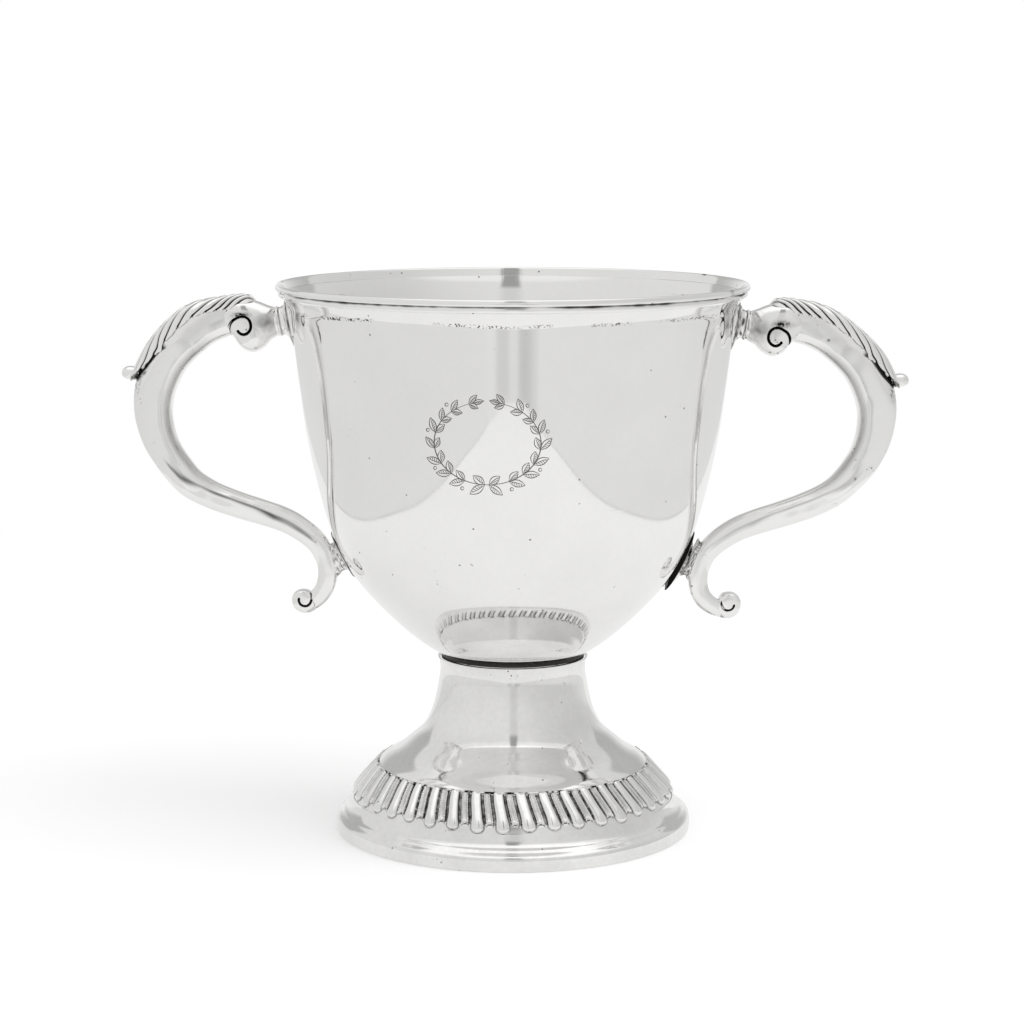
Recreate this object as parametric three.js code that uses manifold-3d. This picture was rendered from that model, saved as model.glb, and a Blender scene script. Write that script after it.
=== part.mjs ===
// A silver drinking cup with two handles: a raised bowl with an applied lip, soldered to a trumpet
// foot with a gadrooned border, and a pair of hollow cast scroll handles capped with leaves.
// Millimetres, +Z up. The origin is on the cup's axis, in the plane that the foot stands on. The
// handles lie along X and the front faces -Y.
import * as THREE from 'three';
import { mergeVertices } from 'three/addons/utils/BufferGeometryUtils.js';
import Module from 'manifold-3d';

const wasm = await Module();
wasm.setup();

// Overall sizes
const CUP_HEIGHT = 160;
const RIM_RADIUS = 68;
const FOOT_RADIUS = 52;
const FOOT_HEIGHT = 51.1;
const HANDLE_REACH = 40.8; // from the line between a handle's two seats to its finger-side edge
const CLEARANCE = 0.3; // the solder gap between two pieces that meet
const ROUND_SEGMENTS = 32;

// Bowl and lip
const BOWL_WALL = 1;
const LIP_HEIGHT = 2.2;
const LIP_WIDTH = 2.4;
const LIP_OVERHANG = 1; // how far the lip stands out past the bowl's edge
const BOWL_STEPS = 2; // curve steps between two points of the bowl's outline

// Foot
const WAIST_RADIUS = 21.2;
const FOOT_TOP_RADIUS = 21.9;
const FOOT_WALL = 1.1;
const SEAT_RADIUS = 19.2; // inner edge of the turned-in face that carries the bowl
const SEAT_THICKNESS = 1;
const COLLAR_THICKNESS = 0.5; // at the collar's thin inner edge
const COLLAR_RECESS = 1; // from the foot's top edge in to the collar
const COLLAR_SETBACK = 0.1; // from the seat's inner edge out to the collar's
const PEDESTAL_STEPS = 2;

// Gadrooned border and flange of the foot
const GADROON_COUNT = 40;
const GADROON_RELIEF = 0.95;
const GADROON_LEAN = 0.22; // share of a pitch that a lobe moves round from its top to its foot
const BORDER_HEIGHT = 9.4;
const BORDER_WIDTH = 5.95; // in plan, from the border's foot in to its top
const BORDER_WALL = 1.2;
const BORDER_HOLLOW = 0.3; // how far the border's run bends in from a straight slope
const WIRE_RADIUS = 0.45;
const WIRE_SINK = 0.1;
const WIRE_SIDES = 5;
const SHOULDER_SLOPE = THREE.MathUtils.degToRad(40);
const FLANGE_WIDTH = 6; // in plan, from the foot's edge in to the border
const FLANGE_HEIGHT = 9.5;
const FLANGE_EDGE_HEIGHT = 3.7; // the upright face at the edge
const STANDING_WIDTH = 2.3; // the flat ring that the cup stands on
const FLANGE_WALL = 1.1;
const FLANGE_CHAMFER = 0.3;

// Handles
const UPPER_SEAT_BELOW_RIM = 10.9;
const LOWER_SEAT_ABOVE_FOOT = 28.7;
const HANDLE_RISE = { left: 1.1, right: -1.1 }; // each handle is set by hand, a little high or low
const ARM_THICKNESS = 12.2; // greatest thickness, seen from the front
const ARM_WIDTH_SHARE = 0.86; // width from front to back, as a share of the thickness there
const ARM_SQUARENESS = 2.5; // 2 is an ellipse, and more is squarer
const ARM_WALL = 1.2;
const ARM_STEPS = 19;
const ROOT_BEND_RADIUS = 20; // of the arm's middle line where the leaf runs on over the upper scroll
const UPPER_PLATE_RADIUS = 6.8;
const NECK_RADIUS = 4;
const NECK_LENGTH = 3;
const LOWER_PLATE_RADIUS = 7.2;
const LOWER_PLATE_THICKNESS = 0.85;
const PLATE_SEGMENTS = 14;
const PLATE_ROOT = 2; // how far a plate's blank runs into the bowl before it is cut to fit
const BULB_SHARE = 0.61; // radius of the swelling on the upper scroll, as a share of the arm's thickness
const BULB_STEP = 0.5; // from the neck out to the swelling, where they meet
const SCROLL_WIDTH = 9.6;
const SCROLL_BEVEL = 1.2;
const SCROLL_GROOVE_WIDTH = 0.9;
const SCROLL_GROOVE_DEPTH = 1.1;
const LOWER_SCROLL_WIDTH = 5.6;
const LOWER_SCROLL_BEVEL = 0.8;
const STRUT_WIDTH = 4.6;
const STRUT_BEVEL = 0.6;
const STRUT_HOLLOW = 1.6; // how far the strut's top and bottom bend in
const LEAF_START = -0.045; // shares of the arm's run
const LEAF_END = 0.238;
const LEAF_TIP_SHARE = 0.28; // the part of the leaf that narrows to its tip
const LEAF_TIP_WIDTH = 0.25; // the leaf's width at its tip, as a share of its full width
const LEAF_STEPS = 25;
const RIB_SLANT = 1.1; // ribs that a rib passes on its way from the ridge to the edge
const LEAF_GAP = 0.45; // to the arm, measured where the leaf's facets turn
const LEAF_THICKNESS = 0.75;
const LEAF_RIB_HEIGHT = 0.55;
const LEAF_RIBS = 9;
const LEAF_EDGE_ANGLE = THREE.MathUtils.degToRad(76);
const LEAF_TIP_LIFT = 1.1;
const TIP_LENGTH = 4.2;
const TIP_RADIUS = 1.75;
const TIP_WIDTH = 4.4;
const TIP_BEVEL = 0.5;
const TIP_HEEL = 0.4; // where the tip's underside starts, as a share of its radius
const BEVEL_SEGMENTS = 1;

const SILVER = { color: 0xdcdcda, roughness: 0.16, metalness: 1 };
const CAST_SILVER = { color: 0xd6d6d3, roughness: 0.24, metalness: 1 };
const TARNISHED_SILVER = { color: 0x8e8d8a, roughness: 0.4, metalness: 1 };

// The bowl's outer side from its lowest point to its edge, as shares of its edge radius and depth.
const BOWL_OUTLINE = [
  [0, 0], [0.254, 0.011], [0.36, 0.035], [0.51, 0.107], [0.678, 0.222], [0.751, 0.294],
  [0.889, 0.612], [0.934, 0.841], [1, 1],
];

// The trumpet of the foot from its shoulder up to its top edge, as shares of the way from the waist
// out to the shoulder and of the way from the shoulder up to the top.
const PEDESTAL_OUTLINE = [
  [1, 0], [0.497, 0.189], [0.186, 0.415], [0.023, 0.771], [0, 0.868],
];

// The lip's section, as shares of its width in from the rim and of its height down from the top.
const LIP_SECTION = [
  [1, 1], [0.3, 1], [0.08, 0.7], [0, 0.35], [0.3, 0], [0.66, 0],
];

// The flange from its upright edge up to the border, as shares of what is left of its width and
// height above the upright face.
const FLANGE_COVE = [
  [0.09, 0.1], [0.3, 0.24], [0.58, 0.55], [0.82, 0.85], [0.85, 1],
];

// The finger-side edge of an arm from the upper scroll to the lower one: out from the line between
// the seats as a share of the reach, up as a share of the way between the seats, and the arm's
// thickness as a share of its greatest.
const ARM_EDGE = [
  [0.411, 0.925, 0.96], [0.513, 0.906, 0.975], [0.669, 0.857, 0.995], [0.796, 0.795, 1],
  [0.927, 0.694, 0.97], [0.998, 0.593, 0.895], [0.999, 0.492, 0.81], [0.93, 0.391, 0.74],
  [0.824, 0.335, 0.68], [0.663, 0.287, 0.62], [0.473, 0.24, 0.585], [0.287, 0.188, 0.56],
  [0.171, 0.137, 0.525], [0.107, 0.087, 0.485], [0.077, 0.017, 0.445], [0.079, -0.065, 0.44],
  [0.133, -0.143, 0.44], [0.241, -0.209, 0.41],
];

// Places on the two scrolls, from the end of the arm that they meet: along the arm and outward from
// its middle, as shares of its thickness there.
const UPPER_SCROLL = {
  centre: [-0.49, -0.42],
  crease: [0, -0.5],
  shoulder: [-0.85, 0],
  cap: [0, 0.6],
  bulb: [-0.55, -0.24],
  eye: [-0.43, -0.39],
  eyeEnd: [-0.31, -0.51],
};
const LOWER_SCROLL = {
  centre: [0.56, 0.84],
  under: [0, -0.5],
  crease: [0, 0.45],
  eyeEnd: [0.3, 0.84],
};
const UPPER_GROOVE_PINCH = 2.4;
const LOWER_SCROLL_PINCH = 3.5;

// The flare of an upper plate from its edge to its neck, as shares of the flare and of the neck's
// length. Then the dome of a lower plate from its edge to its middle, as shares of its radius and
// height.
const UPPER_PLATE_FLARE = [[1, 0.1], [0.66, 0.28], [0.27, 0.52], [0, 0.85]];
const LOWER_PLATE_DOME = [[1, 0.1], [0.92, 0.55], [0.5, 0.95]];

// Where a strut's top and bottom start: up the lower plate as shares of its radius, and along the
// arm as shares of its run.
const STRUT_ON_PLATE = { top: 0.82, bottom: -0.72 };
const STRUT_ON_ARM = { top: 0.77, bottom: 0.905 };

// Shared geometry

function signedVolume(geometry) {
  const { array } = geometry.attributes.position;
  const order = geometry.index.array;
  const a = new THREE.Vector3();
  const b = new THREE.Vector3();
  const c = new THREE.Vector3();
  let sum = 0;
  for (let i = 0; i < order.length; i += 3) {
    a.fromArray(array, order[i] * 3);
    b.fromArray(array, order[i + 1] * 3);
    c.fromArray(array, order[i + 2] * 3);
    sum += a.dot(b.cross(c));
  }
  return sum / 6;
}

// Welds a geometry's corners, drops its empty triangles and turns its faces outward.
function closed(geometry) {
  const bare = new THREE.BufferGeometry();
  bare.setAttribute('position', geometry.attributes.position.clone());
  bare.setIndex(geometry.index ? geometry.index.clone() : null);
  const welded = mergeVertices(bare);
  const kept = [];
  for (let i = 0; i < welded.index.count; i += 3) {
    const corners = [0, 1, 2].map((k) => welded.index.getX(i + k));
    if (new Set(corners).size === 3) kept.push(...corners);
  }
  welded.setIndex(kept);
  if (signedVolume(welded) < 0) welded.setIndex(kept.reverse());
  welded.computeVertexNormals();
  return welded;
}

function solid(geometry) {
  const shape = closed(geometry);
  return new wasm.Manifold(new wasm.Mesh({
    numProp: 3,
    vertProperties: new Float32Array(shape.attributes.position.array),
    triVerts: new Uint32Array(shape.index.array),
  }));
}

function geometryOf(body) {
  const mesh = body.getMesh();
  const geometry = new THREE.BufferGeometry();
  geometry.setAttribute('position', new THREE.BufferAttribute(new Float32Array(mesh.vertProperties), 3));
  geometry.setIndex(new THREE.BufferAttribute(new Uint32Array(mesh.triVerts), 1));
  return geometry;
}

function cut(blank, ...cutters) {
  return cutters.reduce((body, cutter) => body.subtract(solid(cutter)), blank);
}

function piece(name, geometry, finish) {
  const mesh = new THREE.Mesh(closed(geometry), new THREE.MeshStandardMaterial(finish));
  mesh.name = name;
  return mesh;
}

// A smooth line through points of [x, y], with the given number of steps between two of them.
function smoothLine(points, steps) {
  const knots = points.map(([x, y]) => new THREE.Vector3(x, y, 0));
  const line = new THREE.CatmullRomCurve3(knots, false, 'centripetal');
  return line.getPoints((points.length - 1) * steps).map((p) => new THREE.Vector2(p.x, p.y));
}

// The line moved to its left by a distance, square to its run at each point.
function offsetLeft(line, distance) {
  return line.map((point, i) => {
    const before = line[Math.max(i - 1, 0)];
    const after = line[Math.min(i + 1, line.length - 1)];
    const run = after.clone().sub(before).normalize();
    return new THREE.Vector2(point.x - run.y * distance, point.y + run.x * distance);
  });
}

// Turns a section of (radius, height) points round the Z axis. A ring's section closes on itself.
function turned(section, segments = ROUND_SEGMENTS) {
  const onAxis = section[0].x === 0;
  const loop = onAxis ? section : [...section, section[0].clone()];
  return new THREE.LatheGeometry(loop, segments).rotateX(Math.PI / 2);
}

// Bends a straight extrusion of a fan-shaped section: place(along, across, layer) gives each
// corner's place, where along and across run from 0 to 1 and layer is 0 inside and 1 outside.
function bentStrip(steps, innerColumns, outerColumns, place) {
  const section = new THREE.Shape();
  const corners = [];
  for (let i = 0; i <= outerColumns; i += 1) corners.push([2, i / outerColumns]);
  for (let i = innerColumns; i >= 0; i -= 1) corners.push([1, i / innerColumns]);
  section.setFromPoints(corners.map(([radius, share]) => new THREE.Vector2(
    radius * Math.cos(share * Math.PI),
    radius * Math.sin(share * Math.PI),
  )));
  const strip = new THREE.ExtrudeGeometry(section, { depth: 1, steps, bevelEnabled: false });
  const { position } = strip.attributes;
  for (let i = 0; i < position.count; i += 1) {
    const x = position.getX(i);
    const y = position.getY(i);
    const across = Math.atan2(Math.max(y, 0), x) / Math.PI;
    const layer = Math.round(Math.hypot(x, y)) - 1;
    position.setXYZ(i, ...place(position.getZ(i), across, layer).toArray());
  }
  return strip;
}

// Bends a straight extrusion of a round section: place(along, angle) gives each corner's place.
function bentTube(steps, sides, place) {
  const section = new THREE.Shape();
  section.setFromPoints(Array.from({ length: sides }, (_, i) => new THREE.Vector2(
    Math.cos(i / sides * 2 * Math.PI),
    Math.sin(i / sides * 2 * Math.PI),
  )));
  const tube = new THREE.ExtrudeGeometry(section, { depth: 1, steps, bevelEnabled: false });
  const { position } = tube.attributes;
  for (let i = 0; i < position.count; i += 1) {
    const angle = Math.atan2(position.getY(i), position.getX(i));
    position.setXYZ(i, ...place(position.getZ(i), angle).toArray());
  }
  return tube;
}

// Extrudes an outline of (x, z) points to a width along Y, centred on the XZ plane.
function slab(outline, width, bevel) {
  const flat = width - 2 * bevel;
  const geometry = new THREE.ExtrudeGeometry(new THREE.Shape(outline), {
    depth: flat,
    bevelEnabled: bevel > 0,
    bevelThickness: bevel,
    bevelSize: bevel,
    bevelOffset: -bevel,
    bevelSegments: BEVEL_SEGMENTS,
  });
  return geometry.translate(0, 0, -flat / 2).rotateX(Math.PI / 2);
}

// Bowl and lip

const bowlEdgeRadius = RIM_RADIUS - LIP_OVERHANG;
const bowlTop = CUP_HEIGHT - LIP_HEIGHT - CLEARANCE;
const bowlSeat = FOOT_HEIGHT + 2 * CLEARANCE + COLLAR_THICKNESS;

function heightAt(line, radius) {
  const above = line.findIndex((point) => point.x >= radius);
  const low = line[above - 1];
  const high = line[above];
  return THREE.MathUtils.mapLinear(radius, low.x, high.x, low.y, high.y);
}

function radiusAt(line, height) {
  const above = line.findIndex((point) => point.y >= height);
  const low = line[above - 1];
  const high = line[above];
  return THREE.MathUtils.mapLinear(height, low.y, high.y, low.x, high.x);
}

// The bowl's depth is set so that its underside rests on the collar and its edge under the lip.
function bowlOutline() {
  const shares = smoothLine(BOWL_OUTLINE, BOWL_STEPS);
  const seatShare = heightAt(shares, SEAT_RADIUS / bowlEdgeRadius);
  const depth = (bowlTop - bowlSeat) / (1 - seatShare);
  return shares.map((p) => new THREE.Vector2(p.x * bowlEdgeRadius, bowlTop - depth * (1 - p.y)));
}

const bowlSide = bowlOutline();

function bowl() {
  const inside = offsetLeft(bowlSide, BOWL_WALL);
  inside[0].x = 0;
  inside[inside.length - 1].y = bowlTop;
  return turned([...bowlSide, ...inside.reverse()]);
}

// The space that the bowl and its solder gap fill, which plates and struts are cut to.
function bowlEnvelope() {
  const skin = offsetLeft(bowlSide, -CLEARANCE);
  skin[0].x = 0;
  skin[skin.length - 1].y = bowlTop;
  return turned([...skin, new THREE.Vector2(0, bowlTop)]);
}

function lip() {
  return turned(LIP_SECTION.map(([inward, down]) => new THREE.Vector2(
    RIM_RADIUS - inward * LIP_WIDTH,
    CUP_HEIGHT - down * LIP_HEIGHT,
  )));
}

// Foot

const flangeTop = FLANGE_HEIGHT;
const borderFoot = new THREE.Vector2(FOOT_RADIUS - FLANGE_WIDTH, flangeTop + CLEARANCE);
const borderTop = new THREE.Vector2(borderFoot.x - BORDER_WIDTH, borderFoot.y + BORDER_HEIGHT);
const upShoulder = new THREE.Vector2(-Math.cos(SHOULDER_SLOPE), Math.sin(SHOULDER_SLOPE));
const wireSlot = 2 * (WIRE_RADIUS + CLEARANCE);
const shoulder = borderTop.clone().addScaledVector(upShoulder, wireSlot);

function collar() {
  const outer = FOOT_TOP_RADIUS - COLLAR_RECESS;
  const bottom = FOOT_HEIGHT + CLEARANCE;
  const ceiling = offsetLeft(bowlSide, -CLEARANCE);
  const top = (radius) => new THREE.Vector2(radius, heightAt(ceiling, radius));
  const inner = SEAT_RADIUS + COLLAR_SETBACK;
  return turned([
    new THREE.Vector2(inner, bottom),
    new THREE.Vector2(outer, bottom),
    top(outer),
    top(inner),
  ]);
}

function pedestal() {
  const widening = shoulder.x - WAIST_RADIUS;
  const climb = FOOT_HEIGHT - shoulder.y;
  const topEdge = [(FOOT_TOP_RADIUS - WAIST_RADIUS) / widening, 1];
  const trumpet = smoothLine([...PEDESTAL_OUTLINE, topEdge], PEDESTAL_STEPS)
    .map((p) => new THREE.Vector2(WAIST_RADIUS + p.x * widening, shoulder.y + p.y * climb));
  const inside = offsetLeft(trumpet, FOOT_WALL)
    .filter((p, i) => i % PEDESTAL_STEPS === 0 && p.y < FOOT_HEIGHT - 2 * SEAT_THICKNESS);
  return turned([
    ...trumpet,
    new THREE.Vector2(SEAT_RADIUS, FOOT_HEIGHT),
    new THREE.Vector2(SEAT_RADIUS, FOOT_HEIGHT - SEAT_THICKNESS),
    ...inside.reverse(),
  ]);
}

function wire() {
  const centre = borderTop.clone().addScaledVector(upShoulder, wireSlot / 2);
  const inward = new THREE.Vector2(-upShoulder.y, upShoulder.x);
  centre.addScaledVector(inward, WIRE_SINK);
  return turned(Array.from({ length: WIRE_SIDES }, (_, i) => new THREE.Vector2(
    centre.x + WIRE_RADIUS * Math.cos(i / WIRE_SIDES * 2 * Math.PI),
    centre.y + WIRE_RADIUS * Math.sin(i / WIRE_SIDES * 2 * Math.PI),
  )));
}

// One pitch of the border, going round: half a drop-shaped lobe, a flute between two ridges, and the
// next lobe's first half. Each column's place is a share of the pitch from its nearer lobe.
const GADROON_COLUMNS = [
  { from: 0, at: 0.07, lobe: 1, flute: 0 },
  { from: 0, at: 0.17, lobe: 0, flute: 0 },
  { from: 0, at: 0.31, lobe: 0, flute: 0.6 },
  { from: 0, at: 0.5, lobe: 0, flute: 0.05 },
  { from: 1, at: -0.31, lobe: 0, flute: 0.6 },
  { from: 1, at: -0.17, lobe: 0, flute: 0 },
  { from: 1, at: -0.07, lobe: 1, flute: 0 },
];

// The border's rows from its foot to its top. The lobes run lower than the flutes, and are widest
// near their round ends.
const GADROON_ROWS = [
  { up: 0, width: 0.5, lobe: 0, flute: 0 },
  { up: 0.06, width: 1, lobe: 0.85, flute: 0 },
  { up: 0.2, width: 1.2, lobe: 1, flute: 0 },
  { up: 0.32, width: 1.1, lobe: 0.95, flute: 1 },
  { up: 1, width: 0.8, lobe: 0.15, flute: 0.2 },
];

function gadroonBorder() {
  const bend = new THREE.Vector2(borderFoot.x - BORDER_HOLLOW, borderFoot.y + BORDER_HEIGHT / 2);
  const run = new THREE.QuadraticBezierCurve(borderFoot, bend, borderTop);
  const ground = GADROON_ROWS.map((row) => run.getPoint(row.up));
  const outward = GADROON_ROWS.map((row) => {
    const tangent = run.getTangent(row.up);
    return new THREE.Vector2(tangent.y, -tangent.x);
  });
  const behind = [ground[ground.length - 1], ground[0]].map((p) => p.clone());
  behind[0].addScaledVector(outward[ground.length - 1], -BORDER_WALL);
  behind[1].addScaledVector(outward[0], -BORDER_WALL);
  const section = [...ground, ...behind];
  const columns = GADROON_COLUMNS.length;
  const border = turned(section, columns * GADROON_COUNT);
  const { position } = border.attributes;
  const pitch = 2 * Math.PI / GADROON_COUNT;
  for (let i = 0; i < position.count; i += 1) {
    const row = i % (section.length + 1) % section.length;
    if (row < ground.length) {
      const turn = Math.floor(i / (section.length + 1));
      const column = GADROON_COLUMNS[turn % columns];
      const { up, width, lobe, flute } = GADROON_ROWS[row];
      const relief = GADROON_RELIEF * (lobe * column.lobe + flute * column.flute);
      const place = Math.abs(column.at) < 0.5 ? column.at * width : column.at;
      const lobes = Math.floor(turn / columns) + column.from + place - GADROON_LEAN * up;
      const angle = pitch * lobes - Math.PI / 2;
      const radius = ground[row].x + outward[row].x * relief;
      const height = ground[row].y + outward[row].y * relief;
      position.setXYZ(i, radius * Math.cos(angle), radius * Math.sin(angle), height);
    }
  }
  return border;
}

function flange() {
  const coveHeight = flangeTop - FLANGE_EDGE_HEIGHT;
  const outside = [
    new THREE.Vector2(FOOT_RADIUS - FLANGE_CHAMFER, 0),
    new THREE.Vector2(FOOT_RADIUS, FLANGE_CHAMFER),
    new THREE.Vector2(FOOT_RADIUS, FLANGE_EDGE_HEIGHT),
    ...FLANGE_COVE.map(([inward, up]) => new THREE.Vector2(
      FOOT_RADIUS - inward * FLANGE_WIDTH,
      FLANGE_EDGE_HEIGHT + up * coveHeight,
    )),
  ];
  const topInner = FOOT_RADIUS - FLANGE_WIDTH - FLANGE_WALL / 2;
  return turned([
    ...outside,
    new THREE.Vector2(topInner, flangeTop),
    new THREE.Vector2(FOOT_RADIUS - STANDING_WIDTH - FLANGE_CHAMFER, FLANGE_EDGE_HEIGHT),
    new THREE.Vector2(FOOT_RADIUS - STANDING_WIDTH - FLANGE_CHAMFER, 0),
  ]);
}

// Handles. Each is laid out on the XZ plane, out along +X, and the left one is turned to face -X.

// The bowl's side at a height: the point on it, and the outward direction square to it.
function seatOn(height) {
  const reach = 1;
  const point = new THREE.Vector2(radiusAt(bowlSide, height), height);
  const rise = radiusAt(bowlSide, height + reach) - radiusAt(bowlSide, height - reach);
  const outward = new THREE.Vector2(2 * reach, -rise).normalize();
  const up = new THREE.Vector2(-outward.y, outward.x);
  return { point, outward, up };
}

function layOutHandle(rise) {
  const top = CUP_HEIGHT - UPPER_SEAT_BELOW_RIM;
  const bottom = FOOT_HEIGHT + LOWER_SEAT_ABOVE_FOOT;
  const knots = ARM_EDGE.map(([out, up, thickness]) => new THREE.Vector3(
    THREE.MathUtils.lerp(radiusAt(bowlSide, bottom), radiusAt(bowlSide, top), up) + out * HANDLE_REACH,
    thickness * ARM_THICKNESS,
    THREE.MathUtils.lerp(bottom, top, up) + rise,
  ));
  const upper = seatOn(top + rise);
  const lower = seatOn(bottom + rise);
  return { upper, lower, edge: new THREE.CatmullRomCurve3(knots, false, 'centripetal') };
}

// The arm at a share of its run: its middle, its thickness, and the directions along it and out.
// A share over 1 carries straight on past its end. One under 0 bends down over the upper scroll.
function armFrame(handle, share) {
  const inside = THREE.MathUtils.clamp(share, 0, 1);
  const point = handle.edge.getPoint(inside);
  const tangent = handle.edge.getTangent(inside);
  const along = new THREE.Vector2(tangent.x, tangent.z).normalize();
  const outward = new THREE.Vector2(-along.y, along.x);
  const middle = new THREE.Vector2(point.x, point.z).addScaledVector(outward, point.y / 2);
  const past = (share - inside) * handle.edge.getLength();
  if (past >= 0) {
    middle.addScaledVector(along, past);
  } else {
    const pivot = middle.clone().addScaledVector(outward, -ROOT_BEND_RADIUS);
    const bend = -past / ROOT_BEND_RADIUS;
    middle.rotateAround(pivot, bend);
    along.rotateAround(new THREE.Vector2(), bend);
    outward.rotateAround(new THREE.Vector2(), bend);
  }
  return { middle, thickness: point.y, along, outward };
}

function squarer(value) {
  return Math.sign(value) * Math.abs(value) ** (2 / ARM_SQUARENESS);
}

// A point of the arm's surface, moved out by an offset. Angle 0 is the outer ridge.
function onArm(handle, share, angle, offset) {
  const { middle, thickness, outward } = armFrame(handle, share);
  const rise = (thickness / 2 + offset) * squarer(Math.cos(angle));
  const side = (thickness * ARM_WIDTH_SHARE / 2 + offset) * squarer(Math.sin(angle));
  return new THREE.Vector3(middle.x + outward.x * rise, side, middle.y + outward.y * rise);
}

function armHalf(handle, side) {
  return bentStrip(ARM_STEPS, 4, 6, (along, across, layer) => {
    const point = onArm(handle, along, across * Math.PI, (layer - 1) * ARM_WALL);
    point.y = side * (point.y + CLEARANCE / 2);
    return point;
  });
}

// Moves a point away from the seam between the arm's halves, as they are.
function spread(point) {
  if (Math.abs(point.y) > CLEARANCE) point.y += Math.sign(point.y) * CLEARANCE / 2;
  return point;
}

// The space that the arm and its solder gap fill.
function armEnvelope(handle) {
  const step = 1 / ARM_STEPS;
  const gap = CLEARANCE / handle.edge.getLength();
  return bentTube(ARM_STEPS + 2, 12, (along, angle) => {
    const run = THREE.MathUtils.lerp(-step, 1 + step, along);
    const share = THREE.MathUtils.clamp(run, -gap, 1 + gap);
    return spread(onArm(handle, share, angle, CLEARANCE));
  });
}

// Leaf cap

function leafShare(along) {
  return THREE.MathUtils.lerp(LEAF_START, LEAF_END, along);
}

function leafEdge(along) {
  const toTip = Math.max(0, (along - 1 + LEAF_TIP_SHARE) / LEAF_TIP_SHARE);
  return LEAF_EDGE_ANGLE * THREE.MathUtils.lerp(1, LEAF_TIP_WIDTH, toTip);
}

function leafLift(along) {
  const toTip = Math.max(0, (along - 1 + LEAF_TIP_SHARE) / LEAF_TIP_SHARE);
  return LEAF_GAP + LEAF_TIP_LIFT * toTip * toTip;
}

function leafCap(handle) {
  const blade = bentStrip(LEAF_STEPS, 6, 6, (along, across, layer) => {
    const side = 2 * across - 1;
    const phase = LEAF_RIBS * along - RIB_SLANT * Math.abs(side);
    const rib = LEAF_RIB_HEIGHT * Math.abs(Math.sin(Math.PI * phase));
    const offset = leafLift(along) + layer * (LEAF_THICKNESS + rib);
    return spread(onArm(handle, leafShare(along), side * leafEdge(along), offset));
  });
  return geometryOf(solid(blade).add(solid(leafTip(handle))));
}

// The leaf's point, turned up for the thumb.
function leafTip(handle) {
  const { middle, thickness, along, outward } = armFrame(handle, LEAF_END);
  const root = middle.clone().addScaledVector(outward, thickness / 2 + leafLift(1));
  const at = (out, down) => root.clone().addScaledVector(outward, out).addScaledVector(along, down);
  const bend = TIP_LENGTH - LEAF_TIP_LIFT - TIP_RADIUS;
  const outline = [at(0, -TIP_RADIUS), at(bend, -TIP_RADIUS)];
  const steps = 6;
  for (let i = 1; i < steps; i += 1) {
    const turn = Math.PI * (i / steps - 0.5);
    outline.push(at(bend + TIP_RADIUS * Math.cos(turn), TIP_RADIUS * Math.sin(turn)));
  }
  outline.push(at(bend, TIP_RADIUS), at(0, TIP_RADIUS * TIP_HEEL));
  return slab(outline, TIP_WIDTH, TIP_BEVEL);
}

// What the leaf's root and its solder gap take from the top of the upper scroll.
function leafEnvelope(handle) {
  const reach = 5;
  const start = LEAF_START - CLEARANCE / handle.edge.getLength();
  return bentStrip(6, 6, 6, (along, across, layer) => {
    const angle = (across - 0.5) * Math.PI;
    return spread(onArm(handle, start * (1 - along), angle, layer * reach));
  });
}

// Scrolls

// Points of a spiral about a centre from one point to another. The radius changes fastest at the
// start where the pinch is over 1.
function spiral(centre, from, to, { clockwise = false, pinch = 1, steps = 18 }) {
  const start = from.clone().sub(centre);
  const end = to.clone().sub(centre);
  const way = clockwise ? -1 : 1;
  const full = 2 * Math.PI;
  const sweep = way * (((way * (end.angle() - start.angle())) % full + full) % full);
  return Array.from({ length: steps + 1 }, (_, i) => {
    const share = i / steps;
    const angle = start.angle() + sweep * share;
    const radius = end.length() + (start.length() - end.length()) * (1 - share) ** pinch;
    return new THREE.Vector2(centre.x + radius * Math.cos(angle), centre.y + radius * Math.sin(angle));
  });
}

// A band of even width along a line, as an outline.
function band(line, width) {
  return [...offsetLeft(line, width / 2), ...offsetLeft(line, -width / 2).reverse()];
}

// The spiral line cut into both faces of a scroll.
function scrollGrooves(line, width, depth) {
  return [-1, 1].map((side) => {
    const groove = slab(band(line, SCROLL_GROOVE_WIDTH), 2 * depth, 0);
    return groove.translate(0, side * width / 2, 0);
  });
}

// A point placed from an arm's end, in shares of its thickness there.
function fromEnd(handle, share, [along, outward]) {
  const frame = armFrame(handle, share);
  return frame.middle.clone()
    .addScaledVector(frame.along, along * frame.thickness)
    .addScaledVector(frame.outward, outward * frame.thickness);
}

function upperScroll(handle) {
  const { thickness, along } = armFrame(handle, 0);
  const at = (place) => fromEnd(handle, 0, place);
  const centre = at(UPPER_SCROLL.centre);
  const crease = at(UPPER_SCROLL.crease).addScaledVector(along, -CLEARANCE);
  const root = onArm(handle, LEAF_START, 0, LEAF_GAP + LEAF_THICKNESS);
  const outline = spiral(centre, crease, at(UPPER_SCROLL.shoulder), { clockwise: true, steps: 11 });
  outline.push(
    new THREE.Vector2(root.x, root.z),
    at(UPPER_SCROLL.cap).addScaledVector(along, -CLEARANCE),
  );
  const blank = solid(slab(outline, SCROLL_WIDTH, SCROLL_BEVEL));
  const bulb = solid(scrollBulb(handle, at(UPPER_SCROLL.bulb)));
  const line = spiral(at(UPPER_SCROLL.eye), crease, at(UPPER_SCROLL.eyeEnd), {
    pinch: UPPER_GROOVE_PINCH,
    steps: 12,
  });
  const cutters = [
    ...scrollGrooves(line, SCROLL_WIDTH, SCROLL_GROOVE_DEPTH),
    leafEnvelope(handle),
    armBlock(handle, 0, thickness),
    neckBlock(handle, 2 * thickness),
  ];
  return geometryOf(cut(blank.add(bulb), ...cutters));
}

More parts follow.
